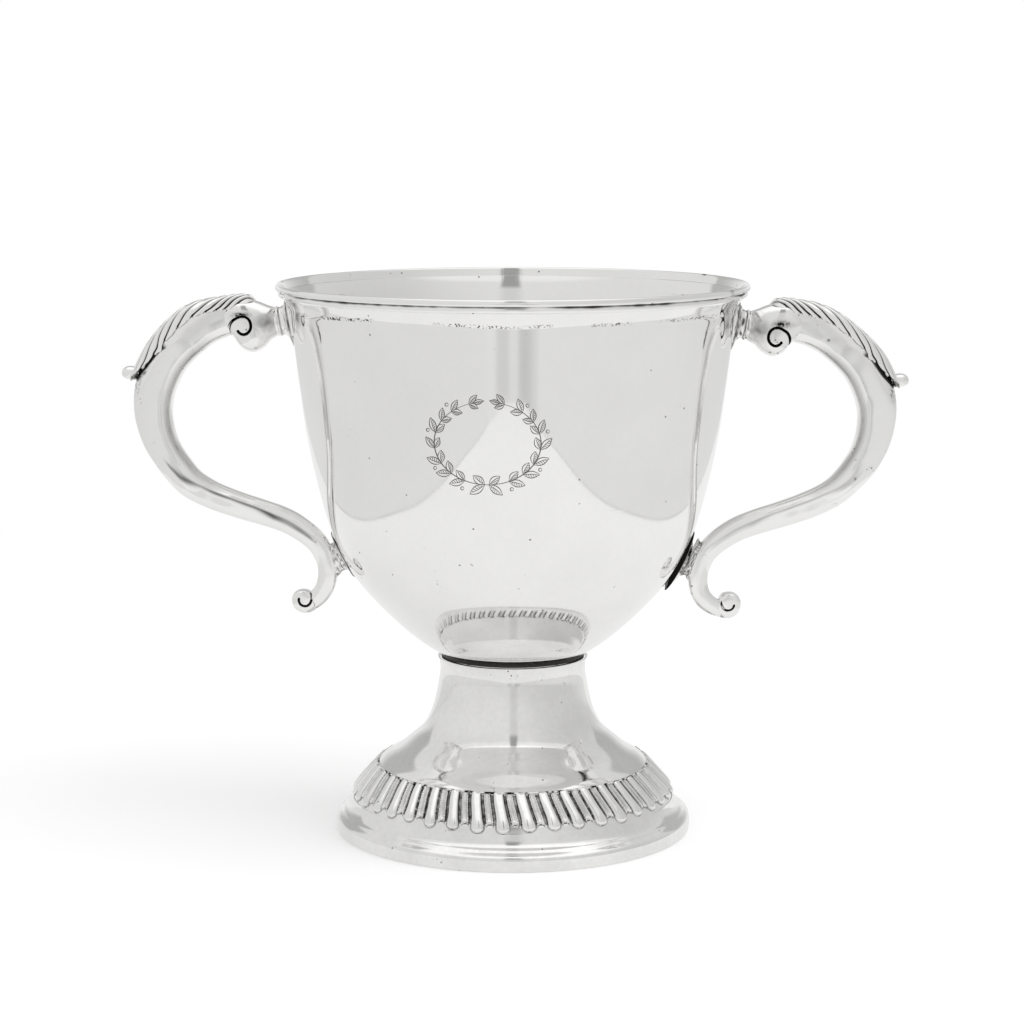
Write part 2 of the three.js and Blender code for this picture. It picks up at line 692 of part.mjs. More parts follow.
// The swelling that joins the scroll to the neck of the upper plate.
function scrollBulb(handle, centre) {
  const { point, outward, up } = handle.upper;
  const start = point.clone().addScaledVector(outward, NECK_LENGTH + CLEARANCE);
  const swell = BULB_SHARE * armFrame(handle, 0).thickness - NECK_RADIUS;
  return bentTube(4, 10, (along, angle) => {
    const middle = start.clone().lerp(centre, along);
    const radius = NECK_RADIUS + BULB_STEP + swell * Math.sin(along * Math.PI / 2);
    const half = Math.min(radius, SCROLL_WIDTH / 2);
    middle.addScaledVector(up, radius * Math.cos(angle));
    return new THREE.Vector3(middle.x, half * Math.sin(angle), middle.y);
  });
}

// A block that clears everything between the bowl and the end of the upper plate's neck.
function neckBlock(handle, reach) {
  const { point, outward, up } = handle.upper;
  const face = point.clone().addScaledVector(outward, NECK_LENGTH + CLEARANCE);
  const corners = [[0, -reach], [0, reach], [-reach, reach], [-reach, -reach]];
  const outline = corners.map(([out, side]) => face.clone()
    .addScaledVector(outward, out)
    .addScaledVector(up, side));
  return slab(outline, 2 * SCROLL_WIDTH, 0);
}

// A block that clears everything beyond an end of the arm, on the arm's side of the joint.
function armBlock(handle, share, reach) {
  const { along, outward } = armFrame(handle, share);
  const face = fromEnd(handle, share, [0, 0]).addScaledVector(along, -CLEARANCE);
  const corners = [[0, -reach], [reach, -reach], [reach, reach], [0, reach]];
  const outline = corners.map(([out, side]) => face.clone()
    .addScaledVector(along, out)
    .addScaledVector(outward, side));
  return slab(outline, 2 * SCROLL_WIDTH, 0);
}

function lowerScroll(handle) {
  const { along } = armFrame(handle, 1);
  const at = (place) => fromEnd(handle, 1, place);
  const centre = at(LOWER_SCROLL.centre);
  const under = at(LOWER_SCROLL.under).addScaledVector(along, CLEARANCE);
  const crease = at(LOWER_SCROLL.crease).addScaledVector(along, CLEARANCE);
  const outline = spiral(centre, under, crease, { pinch: LOWER_SCROLL_PINCH, steps: 14 });
  const line = spiral(centre, crease, at(LOWER_SCROLL.eyeEnd), { steps: 8 });
  const grooves = scrollGrooves(line.slice(1), LOWER_SCROLL_WIDTH, SCROLL_GROOVE_DEPTH / 2);
  const blank = solid(slab(outline, LOWER_SCROLL_WIDTH, LOWER_SCROLL_BEVEL));
  return geometryOf(cut(blank, ...grooves, armEnvelope(handle)));
}

// Plates and strut

// Turns a section of (radius, distance out) points round the line that stands on a seat.
function turnedOnSeat(section, seat) {
  const axis = new THREE.Vector3(seat.outward.x, 0, seat.outward.y);
  const turn = new THREE.Quaternion().setFromUnitVectors(new THREE.Vector3(0, 1, 0), axis);
  const points = section.map(([radius, out]) => new THREE.Vector2(radius, out));
  return new THREE.LatheGeometry(points, PLATE_SEGMENTS)
    .applyQuaternion(turn)
    .translate(seat.point.x, 0, seat.point.y);
}

function upperPlate(handle) {
  const flare = UPPER_PLATE_RADIUS - NECK_RADIUS;
  const blank = turnedOnSeat([
    [0, -PLATE_ROOT],
    [UPPER_PLATE_RADIUS, -PLATE_ROOT],
    ...UPPER_PLATE_FLARE.map(([wide, out]) => [NECK_RADIUS + wide * flare, out * NECK_LENGTH]),
    [NECK_RADIUS, NECK_LENGTH],
    [0, NECK_LENGTH],
  ], handle.upper);
  return geometryOf(cut(solid(blank), bowlEnvelope()));
}

function lowerPlateBlank(handle, growth) {
  const face = CLEARANCE + LOWER_PLATE_THICKNESS + growth;
  return turnedOnSeat([
    [0, -PLATE_ROOT],
    [LOWER_PLATE_RADIUS + growth, -PLATE_ROOT],
    ...LOWER_PLATE_DOME.map(([wide, out]) => [wide * LOWER_PLATE_RADIUS + growth, out * face]),
    [0, face],
  ], handle.lower);
}

function lowerPlate(handle) {
  return geometryOf(cut(solid(lowerPlateBlank(handle, 0)), bowlEnvelope()));
}

// The saddle between the lower plate and the arm, hollowed above and below.
function strut(handle) {
  const { point, up } = handle.lower;
  const onWall = (share) => point.clone().addScaledVector(up, share * LOWER_PLATE_RADIUS);
  const onTail = (share) => armFrame(handle, share).middle;
  const outline = new THREE.Path();
  const top = onWall(STRUT_ON_PLATE.top);
  const bottom = onWall(STRUT_ON_PLATE.bottom);
  const topTail = onTail(STRUT_ON_ARM.top);
  const bottomTail = onTail(STRUT_ON_ARM.bottom);
  const topWaist = top.clone().lerp(topTail, 0.5).addScaledVector(up, -STRUT_HOLLOW);
  const bottomWaist = bottom.clone().lerp(bottomTail, 0.5).addScaledVector(up, STRUT_HOLLOW);
  outline.moveTo(top.x, top.y);
  outline.quadraticCurveTo(topWaist.x, topWaist.y, topTail.x, topTail.y);
  outline.lineTo(bottomTail.x, bottomTail.y);
  outline.quadraticCurveTo(bottomWaist.x, bottomWaist.y, bottom.x, bottom.y);
  const blank = solid(slab(outline.getPoints(5), STRUT_WIDTH, STRUT_BEVEL));
  const cutters = [bowlEnvelope(), lowerPlateBlank(handle, CLEARANCE), armEnvelope(handle)];
  return geometryOf(cut(blank, ...cutters));
}

// Assembly

function handleGroup(side) {
  const handle = layOutHandle(HANDLE_RISE[side]);
  const front = side === 'left' ? 1 : -1;
  const group = new THREE.Group();
  group.rotation.z = side === 'left' ? Math.PI : 0;
  group.add(
    piece(`${side}_upper_plate`, upperPlate(handle), CAST_SILVER),
    piece(`${side}_upper_scroll`, upperScroll(handle), CAST_SILVER),
    piece(`${side}_handle_front_half`, armHalf(handle, front), CAST_SILVER),
    piece(`${side}_handle_back_half`, armHalf(handle, -front), CAST_SILVER),
    piece(`${side}_leaf_cap`, leafCap(handle), CAST_SILVER),
    piece(`${side}_lower_scroll`, lowerScroll(handle), CAST_SILVER),
    piece(`${side}_lower_strut`, strut(handle), CAST_SILVER),
    piece(`${side}_lower_plate`, lowerPlate(handle), CAST_SILVER),
  );
  return group;
}

const cup = new THREE.Group();
cup.add(
  piece('bowl', bowl(), SILVER),
  piece('rim_moulding', lip(), SILVER),
  piece('foot_collar', collar(), TARNISHED_SILVER),
  piece('foot_pedestal', pedestal(), SILVER),
  piece('foot_wire', wire(), TARNISHED_SILVER),
  piece('foot_gadroon_border', gadroonBorder(), CAST_SILVER),
  piece('foot_flange', flange(), SILVER),
  handleGroup('left'),
  handleGroup('right'),
);

export default cup;
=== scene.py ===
import math
import random

import bmesh
import bpy
from mathutils import Matrix, Vector, noise
from mathutils.geometry import interpolate_bezier
from mathutils.kdtree import KDTree


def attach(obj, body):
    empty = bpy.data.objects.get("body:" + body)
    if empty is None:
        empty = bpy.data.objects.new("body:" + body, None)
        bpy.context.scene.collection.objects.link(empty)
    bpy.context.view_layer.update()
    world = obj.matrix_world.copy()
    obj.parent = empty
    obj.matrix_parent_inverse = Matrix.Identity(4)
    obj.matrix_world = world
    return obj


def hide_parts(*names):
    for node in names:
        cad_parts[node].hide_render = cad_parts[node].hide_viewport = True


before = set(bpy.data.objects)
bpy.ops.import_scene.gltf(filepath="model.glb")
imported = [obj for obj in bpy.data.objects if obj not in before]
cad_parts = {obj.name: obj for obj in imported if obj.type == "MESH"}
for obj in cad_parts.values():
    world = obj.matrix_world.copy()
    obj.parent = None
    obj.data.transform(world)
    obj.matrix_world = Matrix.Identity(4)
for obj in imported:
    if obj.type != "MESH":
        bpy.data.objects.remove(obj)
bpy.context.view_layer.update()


# Bowl. One disc of sterling sheet, raised over stakes to a rounded base with nearly straight sides
# and a flared mouth, then planished with a hammer and polished. The wall is a millimetre thick, and
# the base sinks a little way into the top of the foot.
MM = 0.001
TURNS = 256
BOWL_WALL = 1.0
BOWL_TOP = 157.6
PLANISHING = 0.014  # depth of the hammer's marks, and their breadth
PLANISHING_BREADTH = 17
BOWL_SIDE = [
    (0, 49.2), (10, 49.5), (17.2, 50.7), (24.3, 54), (31.95, 60), (40.1, 68), (46.65, 76),
    (51.6, 85.5), (55.45, 98), (59.35, 116), (61.55, 132), (62.5, 140), (63.7, 150.3),
]
MOUTH = [
    (63.7, 150.3), (63.98, 152.5), (64.35, 153.4), (65.2, 154.9), (66.1, 156.4), (66.75, BOWL_TOP),
]
MOUTH_CREASE = 152.9


def smooth_line(knots, step):
    """Points about a step apart on a smooth line through the knots."""
    knots = [Vector(k) for k in knots]
    spans = [(b - a).length for a, b in zip(knots, knots[1:])]
    leans = [(knots[1] - knots[0]) / spans[0]]
    for i in range(1, len(knots) - 1):
        leans.append((knots[i + 1] - knots[i - 1]) / (spans[i - 1] + spans[i]))
    leans.append((knots[-1] - knots[-2]) / spans[-1])
    line = [knots[0]]
    for i, span in enumerate(spans):
        count = max(2, round(span / step) + 1)
        arm = span / 3
        a, b = knots[i].to_3d(), knots[i + 1].to_3d()
        run = interpolate_bezier(
            a, a + leans[i].to_3d() * arm, b - leans[i + 1].to_3d() * arm, b, count)
        line += [p.resized(len(knots[0])) for p in run[1:]]
    return line


def eased(line, passes):
    """The same line with its bends softened, and its two ends where they were."""
    for _ in range(passes):
        line = [line[0]] + [
            (a + 2 * b + c) / 4 for a, b, c in zip(line, line[1:], line[2:])] + [line[-1]]
    return line


def beside(line, distance):
    """A line moved a distance to its left."""
    moved = []
    for i, point in enumerate(line):
        run = (line[min(i + 1, len(line) - 1)] - line[max(i - 1, 0)]).normalized()
        moved.append(Vector((point[0] - run[1] * distance, point[1] + run[0] * distance)))
    return moved


def spun(section, turns=TURNS, sectors=16, rows=None):
    """A closed section of (radius, height) points in millimetres, spun round the cup's axis."""
    shape = bmesh.new()
    layer = shape.verts.layers.float.new("run")
    corners = [shape.verts.new((p[0] * MM, 0, p[1] * MM)) for p in section]
    for i, corner in enumerate(corners):
        corner[layer] = rows[i] if rows else 0
    for pair in zip(corners, corners[1:] + corners[:1]):
        shape.edges.new(pair)
    # One sector is spun first, and then repeated round the axis, which is much quicker.
    bmesh.ops.spin(
        shape, geom=shape.verts[:] + shape.edges[:], cent=(0, 0, 0), axis=(0, 0, 1),
        angle=2 * math.pi / sectors, steps=turns // sectors)
    bmesh.ops.spin(
        shape, geom=shape.verts[:] + shape.edges[:] + shape.faces[:], cent=(0, 0, 0),
        axis=(0, 0, 1), angle=2 * math.pi * (1 - 1 / sectors), steps=sectors - 1,
        use_duplicate=True)
    bmesh.ops.remove_doubles(shape, verts=shape.verts, dist=1e-6)
    on_axis = [edge for edge in shape.edges if edge.is_wire]
    bmesh.ops.delete(shape, geom=on_axis, context="EDGES")
    bmesh.ops.recalc_face_normals(shape, faces=shape.faces)
    return shape


def unevenness(shape, depth, breadth, seed):
    """Moves every corner in or out by a little, as hand work leaves a surface."""
    shape.normal_update()
    for corner in shape.verts:
        place = corner.co / (breadth * MM) + Vector((seed, seed, seed))
        corner.co += corner.normal * noise.noise(place) * depth * MM


def placed(name, data):
    """Puts a mesh, a lamp or a camera into the scene."""
    item = bpy.data.objects.new(name, data)
    bpy.context.scene.collection.objects.link(item)
    return item


def solid(name, shape, material):
    """Puts a finished shape into the scene as an object of one material."""
    mesh = bpy.data.meshes.new(name)
    shape.to_mesh(mesh)
    shape.free()
    mesh.materials.append(material)
    return placed(name, mesh)


def made(name, shape, material, finish, *nodes, crease=40):
    """Turns a finished shape into a piece of the cup that stands for the given nodes."""
    piece = solid(name, shape, material)
    piece.data.shade_smooth()
    piece.data.set_sharp_from_angle(angle=math.radians(crease))
    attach(piece, "root")
    if nodes:
        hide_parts(*nodes)
    return piece


class Nodes:
    """Adds nodes to the tree of a material or of the world, and joins them up."""

    def __init__(self, owner):
        owner.use_nodes = True
        self.tree = owner.node_tree

    def add(self, kind, **values):
        """A new node. Its settings are given in small letters and its sockets by their names, or
        by their numbers after an underscore. A value can be another node's output."""
        added = self.tree.nodes.new("ShaderNode" + kind)
        for name, value in values.items():
            if name[0].islower():
                setattr(added, name, value)
                continue
            socket = added.inputs[int(name[1:]) if name[0] == "_" else name]
            if isinstance(value, bpy.types.NodeSocket):
                self.tree.links.new(value, socket)
            else:
                socket.default_value = value
        return added

    def sums(self, operation, a, b=0.0, c=0.0):
        """A sum of any kind with one to three numbers, such as "SUBTRACT" for a - b."""
        return self.add("Math", operation=operation, _0=a, _1=b, _2=c).outputs[0]

    def times(self, a, b):
        return self.sums("MULTIPLY", a, b)

    def rest(self, share):
        """What a share leaves of one."""
        return self.sums("SUBTRACT", 1.0, share)

    def between(self, value, low, high, at_low=0.0, at_high=1.0, curve="LINEAR"):
        """Turns the range from low to high into the range from at_low to at_high."""
        return self.add(
            "MapRange", interpolation_type=curve, _0=value, _1=low, _2=high, _3=at_low,
            _4=at_high).outputs[0]

    def soft_step(self, value, low, high):
        return self.between(value, low, high, curve="SMOOTHSTEP")

    def mix(self, share, a, b):
        """Two numbers, mixed by the second one's share."""
        return self.add("Mix", _0=share, _2=a, _3=b).outputs[0]

    def grey(self, value):
        return self.add("CombineColor", _0=value, _1=value, _2=value).outputs[0]

    def curve(self, value, points, highest=1.0):
        """A smooth curve through (value, level) points, with levels from 0 to the highest."""
        low, high = points[0][0], points[-1][0]
        curve = self.add("FloatCurve", Value=self.between(value, low, high))
        line = curve.mapping.curves[0]
        for i, (at, level) in enumerate(points):
            spot = ((at - low) / (high - low), level / highest)
            if i < 2:
                line.points[i].location = spot
            else:
                line.points.new(*spot)
        curve.mapping.update()
        return self.times(curve.outputs[0], highest)


class Finish(Nodes):
    """A silver surface: its metal, its polish, its hairline scratches and pits, and a near-black
    that stands for tarnish in its recesses and for painted shade."""

    PIT = (0.12, 0.115, 0.105)
    DENT = (0.1, 0.095, 0.09)
    CREASE = (0.06, 0.057, 0.052)
    # Near-black for tarnish in hollows and for painted shade, wherever the attribute marks it.
    TARNISH_AND_SHADE_BLACK = (0.012, 0.011, 0.010)
    # Each set of hairlines has its own turn, and is drawn out along one direction.
    HAIRLINES = [((0.3, 0.5, 0.2), (40, 40, 900)), ((1.1, 0.2, 0.9), (900, 60, 60))]

    def __init__(self, name, metal, polish, pits=0.0, tarnish_and_shade=False, wear=0.03, crease=None):
        self.material = bpy.data.materials.new(name)
        super().__init__(self.material)
        self.place = self.add("TexCoord").outputs["Object"]
        tone = self.between(self.cloud(55, 4), 0.35, 0.65, 1 - wear)
        speckle = self.between(self.cloud(700, 3), 0.3, 0.7, 1 - wear / 2)
        colour = self.mixed(self.times(tone, speckle), (0, 0, 0), metal)
        rough = self.between(self.cloud(130, 5), 0.3, 0.7, polish * 0.75, polish * 1.35)
        if pits:
            patches = self.between(self.cloud(170, 2), 1 - pits, 1.08 - pits)
            fine = self.times(self.pits(900, 0.1, 0.3)[0], patches)
            colour = self.mixed(fine, colour, self.PIT)
            rough = self.sums("MULTIPLY_ADD", fine, 0.35, rough)
            dent, own = self.pits(210, 0.035, 0.08)
            few = self.between(self.add("SeparateColor", Color=own).outputs[0], 0.68, 0.7, 0, 0.85)
            colour = self.mixed(self.times(dent, few), colour, self.DENT)
        if crease:
            colour = self.mixed(self.ring(crease), colour, self.CREASE)
        # Tarnish and painted shade: each corner turns near-black by the attribute's share.
        if tarnish_and_shade:
            black = self.add("Attribute", attribute_name="tarnish_and_shade").outputs["Fac"]
            colour = self.mixed(black, colour, self.TARNISH_AND_SHADE_BLACK)
            rough = self.sums("MULTIPLY_ADD", black, 0.4, rough)
        shader = self.tree.nodes["Principled BSDF"]
        shader.inputs["Metallic"].default_value = 1
        looks = {"Base Color": colour, "Roughness": rough, "Normal": self.scratches()}
        for socket, value in looks.items():
            self.tree.links.new(value, shader.inputs[socket])

    def cloud(self, scale, detail, turn=None, stretch=None):
        """Soft blotches, which can be turned and drawn out."""
        place = self.place
        if stretch:
            place = self.add("Mapping", Vector=place, Rotation=turn, Scale=stretch).outputs[0]
        return self.add("TexNoise", Scale=scale, Detail=detail, Vector=place).outputs["Fac"]

    def mixed(self, share, a, b):
        """Two colours, mixed by the second one's share."""
        a, b = (v if isinstance(v, bpy.types.NodeSocket) else (*v, 1) for v in (a, b))
        return self.add("Mix", data_type="RGBA", Factor=share, A=a, B=b).outputs["Result"]

    def pits(self, scale, bottom, edge):
        """A pit in each cell, and each cell's own colour, by which some can be picked out."""
        cells = self.add("TexVoronoi", Scale=scale, Vector=self.place).outputs
        return self.between(cells["Distance"], bottom, edge, 1, 0), cells["Color"]

    def ring(self, height):
        """A broken row of pits round the outside at one height, which wanders a little."""
        up = self.add("SeparateXYZ", _0=self.place).outputs[2]
        level = self.sums("MULTIPLY_ADD", self.cloud(28, 1), 2.4 * MM, up)
        far = self.sums("ABSOLUTE", self.sums("SUBTRACT", level, (height + 1.2) * MM))
        row = self.between(far, 0.25 * MM, 0.6 * MM, 1, 0)
        row = self.times(row, self.between(self.cloud(1500, 1), 0.5, 0.6))
        row = self.times(row, self.between(self.cloud(38, 2), 0.46, 0.54))
        flat = self.add("VectorMath", operation="MULTIPLY", _0=self.place, _1=(1, 1, 0))
        radius = self.add("VectorMath", operation="LENGTH", _0=flat.outputs[0])
        return self.times(row, self.between(radius.outputs["Value"], 63.8 * MM, 63.9 * MM))

    def scratches(self):
        """The surface's own slope, with each set of hairlines on top of the one before."""
        normal = None
        for turn, stretch in self.HAIRLINES:
            hair = self.between(self.cloud(1, 3, turn, stretch), 0.62, 0.7)
            before = {"Normal": normal} if normal else {}
            bump = self.add("Bump", Strength=0.05, Distance=0.02 * MM, Height=hair, **before)
            normal = bump.outputs["Normal"]
        return normal


STERLING = (0.93, 0.925, 0.915)
bowl_silver = Finish("bowl_silver", STERLING, polish=0.055, pits=0.3, crease=MOUTH_CREASE).material

bowl_side = eased(smooth_line(BOWL_SIDE, 0.5), passes=50) + smooth_line(MOUTH, 0.3)[1:]
bowl_inside = beside(bowl_side, BOWL_WALL)
bowl_inside[0][0] = 0
bowl_inside[-1][1] = BOWL_TOP
bowl_inside = eased(bowl_inside, passes=260)
bowl_shape = spun(bowl_side[::2] + [bowl_side[-1]] + bowl_inside[::-2] + [bowl_inside[0]])
unevenness(bowl_shape, PLANISHING, PLANISHING_BREADTH, seed=3)
made("raised_bowl", bowl_shape, bowl_silver, "silver_sheet", "bowl")
bowl_radii = [(height, radius) for radius, height in bowl_side]


def read_off(table, at):
    """The value at a place in a table of (place, value) pairs, or the last value past its end."""
    for low, high in zip(table, table[1:]):
        if low[0] <= at <= high[0] and high[0] > low[0]:
            return low[1] + (high[1] - low[1]) * (at - low[0]) / (high[0] - low[0])
    return table[-1][1]


def bowl_radius(height):
    """The bowl's outer radius at a height, in millimetres."""
    return read_off(bowl_radii, height)


def bowl_lean(height):
    """How far the bowl's side moves out for each millimetre of height."""
    return (bowl_radius(height + 1) - bowl_radius(height - 1)) / 2


# Engraved wreath. Two sprays of laurel cut into the bowl's front with a graver: an outline, a rib
# and shading cuts to each leaf, with berries between. The cuts are hair-thin and hold tarnish.
WREATH_PLACE = (-7.0, 121.0)
WREATH_REACH = (14.6, 11.4)
WREATH_LEAVES = 9
STEM_STEPS = 40
STEM_FROM = -101  # the turn at which a spray's stem starts, and how far round it runs, in degrees
STEM_ROUND = 176
LEAF_LONG = 5.0
LEAF_WIDE = 1.05
BERRY_RADIUS = 0.45
CUT_WIDTH = 0.26
CUT_RAISE = 0.03


def on_bowl(aside, height):
    """A place just on the bowl's front, a distance round from the middle and at a height."""
    radius = bowl_radius(height) + CUT_RAISE
    turn = aside / radius
    return Vector((radius * math.sin(turn), -radius * math.cos(turn), height)) * MM


def cut_line(shape, points, width):
    """A cut along some points on the bowl's front, widest in the middle as a graver leaves it."""
    steps = len(points) - 1
    strip = bmesh.ops.create_grid(shape, x_segments=steps, y_segments=1, size=0.5)["verts"]
    for corner in strip:
        share = corner.co.x + 0.5
        i = round(share * steps)
        run = (points[min(i + 1, steps)] - points[max(i - 1, 0)]).normalized()
        half = corner.co.y * width * (0.35 + 0.65 * math.sin(math.pi * share))
        spot = points[i] + Vector((-run[1], run[0])) * half
        corner.co = on_bowl(spot[0], spot[1])


def bow(start, end, belly, count=9):
    """Points from one place to another on a bowed line."""
    across = Vector((start[1] - end[1], end[0] - start[0])).normalized()
    return [
        start.lerp(end, i / count) + across * belly * math.sin(math.pi * i / count)
        for i in range(count + 1)]


def laurel_leaf(shape, root, way, length, wide):
    """An outline, a rib and six shading cuts."""
    tip = root + way * length
    for belly in (wide, -wide):
        cut_line(shape, bow(root, tip, belly), CUT_WIDTH)
    cut_line(shape, bow(root, tip - way * length * 0.15, wide * 0.12), CUT_WIDTH * 0.8)
    across = Vector((-way[1], way[0]))
    for i in range(1, 7):
        share = i / 7
        start = root + way * length * share
        far = wide * math.sin(math.pi * share) * 0.85
        cut_line(shape, bow(start, start + across * -far + way * 0.5, 0.05, 4), CUT_WIDTH * 0.75)


wreath_shape = bmesh.new()
graver = random.Random(12)
for way in (-1, 1):
    stem = []
    for i in range(STEM_STEPS + 1):
        turn = math.radians(STEM_FROM + STEM_ROUND * i / STEM_STEPS)
        stem.append(Vector((
            WREATH_PLACE[0] + way * WREATH_REACH[0] * math.cos(turn),
            WREATH_PLACE[1] + WREATH_REACH[1] * math.sin(turn))))
    cut_line(wreath_shape, stem, CUT_WIDTH * 1.2)
    for leaf_number in range(WREATH_LEAVES):
        i = round(3 + 36 * leaf_number / (WREATH_LEAVES - 1))
        run = (stem[min(i + 1, STEM_STEPS)] - stem[i - 1]).normalized()
        size = (1 - 0.035 * leaf_number) * graver.uniform(0.93, 1.07)
        for side in (-1, 1):
            swing = Matrix.Rotation(side * math.radians(34 + graver.uniform(-5, 5)), 2)
            length = LEAF_LONG * size * (0.82 if side * way > 0 else 1)
            laurel_leaf(wreath_shape, stem[i], swing @ run, length, LEAF_WIDE * size)
        if leaf_number % 2:
            berry = stem[i] + Vector((-run[1], run[0])) * way * -2.3
            turns = [t * math.pi / 6 for t in range(13)]
            ring = [berry + Vector((math.cos(t), math.sin(t))) * BERRY_RADIUS for t in turns]
            cut_line(wreath_shape, ring, CUT_WIDTH)
    last = (stem[-1] - stem[-2]).normalized()
    laurel_leaf(wreath_shape, stem[-1], last, LEAF_LONG * 0.62, LEAF_WIDE * 0.6)
wreath_cut = Finish("engraved_cut", (0.2, 0.195, 0.185), polish=0.35).material
made("engraved_wreath", wreath_shape, wreath_cut, "silver_tarnished")


# Rim moulding. A drawn silver wire, bent round the mouth and soldered to it: a rounded lip with a
# fine dark line under it, and a second narrow bead below the line.
RIM_SECTION = [
    (65.78, 157.5), (66.25, 158.6), (66.62, 159.45), (66.9, 159.88), (67.3, 160), (67.65, 159.86),
    (67.9, 159.45), (68, 159.0), (67.95, 158.55), (67.7, 158.25), (67.25, 158.08), (67.02, 157.9),
    (67.1, 157.65), (67.25, 157.25), (67.15, 156.75), (66.8, 156.35), (66.45, 156.2), (66.1, 156.7),
]
LINE_UNDER_LIP = 157.92
LINE_INNERMOST = 66.7  # the line doesn't show nearer to the cup's axis than this
RIM_RADIUS = 68


def blackened(shape, share):
    """Writes how black each corner is, from 0 to 1, where share(corner's place) gives it."""
    layer = shape.verts.layers.float.new("tarnish_and_shade")
    for corner in shape.verts:
        corner[layer] = min(1, max(0, share(corner.co / MM)))


def line_under_lip(place):
    """Black in the fine line, which is broken and uneven where polish has reached it."""
    if math.hypot(place.x, place.y) < LINE_INNERMOST:
        return 0
    around_rim = Vector((place.x, place.y, 0)) / RIM_RADIUS
    broken = noise.noise(around_rim * 5 + Vector((2, 5, 1))) + 0.7 * noise.noise(around_rim * 21)
    wide = max(0.1, 0.3 + 0.34 * broken)
    return (1.3 - abs(place.z - LINE_UNDER_LIP) / wide) * (0.62 + 0.7 * broken)


rim_silver = Finish("rim_silver", STERLING, polish=0.06, pits=0.32, tarnish_and_shade=True).material
rim_line = smooth_line(RIM_SECTION + RIM_SECTION[:1], 0.12)[:-1]
rim_shape = spun(rim_line)
unevenness(rim_shape, depth=0.03, breadth=9, seed=11)
blackened(rim_shape, line_under_lip)
made("rim_lip", rim_shape, rim_silver, "silver_cast", "rim_moulding")


# Foot collar. A thin ring in the groove between the bowl and the foot, over which the solder ran.
# Its near-black colour is painted shade, for the shadow in the groove.
COLLAR_SECTION = [(19.3, 51.45), (20.9, 51.4), (20.75, 52.0), (21.0, 52.55), (19.3, 52.3)]

painted_shade_silver = Finish("painted_shade_black_silver", (0.045, 0.043, 0.04), polish=0.4, pits=0.4).material
made("solder_ring", spun(COLLAR_SECTION), painted_shade_silver, "silver_tarnished", "foot_collar")


# Foot pedestal. The trumpet of the foot, raised from sheet: a narrow waist, and a wide shoulder
# that turns over in a smooth edge above the ornament. Its turned-in top face carries the bowl.
PEDESTAL_SIDE = [
    (39.25, 19.7), (38.6, 20.35), (36.9, 21.4), (34.2, 23), (30, 26.5), (26.2, 30), (23.4, 36),
    (21.65, 44), (21.2, 47.7), (21.5, 50.1), (21.95, 51.0),
]
PEDESTAL_WALL = 1.1
PEDESTAL_SEAT = [(21.8, 51.15), (21.4, 51.2), (19.3, 51.1), (19.3, 50.2)]

foot_silver = Finish("foot_silver", STERLING, polish=0.075, pits=0.32, wear=0.1).material
pedestal_side = eased(smooth_line(PEDESTAL_SIDE, 0.4), passes=14)
pedestal_inside = beside(pedestal_side[:-4], PEDESTAL_WALL)
pedestal_line = pedestal_side + [Vector(p) for p in PEDESTAL_SEAT] + pedestal_inside[::-1]
pedestal_shape = spun(pedestal_line)
unevenness(pedestal_shape, depth=0.02, breadth=14, seed=23)
made("trumpet_foot", pedestal_shape, foot_silver, "silver_sheet", "foot_pedestal")


# Foot wire. A fine notched wire in the angle between the shoulder and the ornament, blackened
# between its notches.
WIRE_CENTRE = (39.45, 19.45)
WIRE_RADIUS = 0.36
WIRE_NOTCHES = 130
NOTCH_DEPTH = 0.06


def notch(place):
    """1 on the crest between two notches, and 0 at a notch's bottom."""
    return 0.5 + 0.5 * math.cos(math.atan2(place.y, place.x) * WIRE_NOTCHES)


wire_turns = [math.radians(a) for a in range(0, 360, 36)]
wire_section = [
    (WIRE_CENTRE[0] + WIRE_RADIUS * math.cos(a), WIRE_CENTRE[1] + WIRE_RADIUS * math.sin(a))
    for a in wire_turns]
wire_shape = spun(wire_section, turns=WIRE_NOTCHES * 5, sectors=30)
wire_shape.normal_update()
for corner in wire_shape.verts:
    corner.co -= corner.normal * NOTCH_DEPTH * MM * (1 - notch(corner.co))


def ticks(place):
    """Black in some of the notches only, as polishing has cleared the rest."""
    return 3 * noise.noise(place * 0.55) + 0.55 - notch(place)


blackened(wire_shape, ticks)
wire_silver = Finish("wire_silver", STERLING, polish=0.12, tarnish_and_shade=True).material
made("notched_wire", wire_shape, wire_silver, "silver_cast", "foot_wire")


# Gadrooned border. Chased up from behind: forty drop-shaped lobes that lean one way round the foot,
# and between them short fluted ridges with cusped ends. Tarnish has filled the cuts beside them.
LOBES = 40
LOBE_COLUMNS = 44
BORDER_SIDE = [(46.95, 9.3), (45.6, 11.8), (43.6, 14.4), (41.6, 17), (39.75, 19.1)]
BORDER_BACK = [(38.6, 18.6), (45.7, 9.3)]
BORDER_ROWS = 46
LEAN = 0.3
LOBE_PHASE = 0.37  # where the first lobe stands, as a share of the space between two
LOBE_END = 0.06
LOBE_BULB = 0.2
LOBE_HEIGHT = 1.15
FLUTE_END = 0.25
FLUTE_HEIGHT = 0.75
PITCH = 7.25  # millimetres from one lobe to the next, where they are broadest

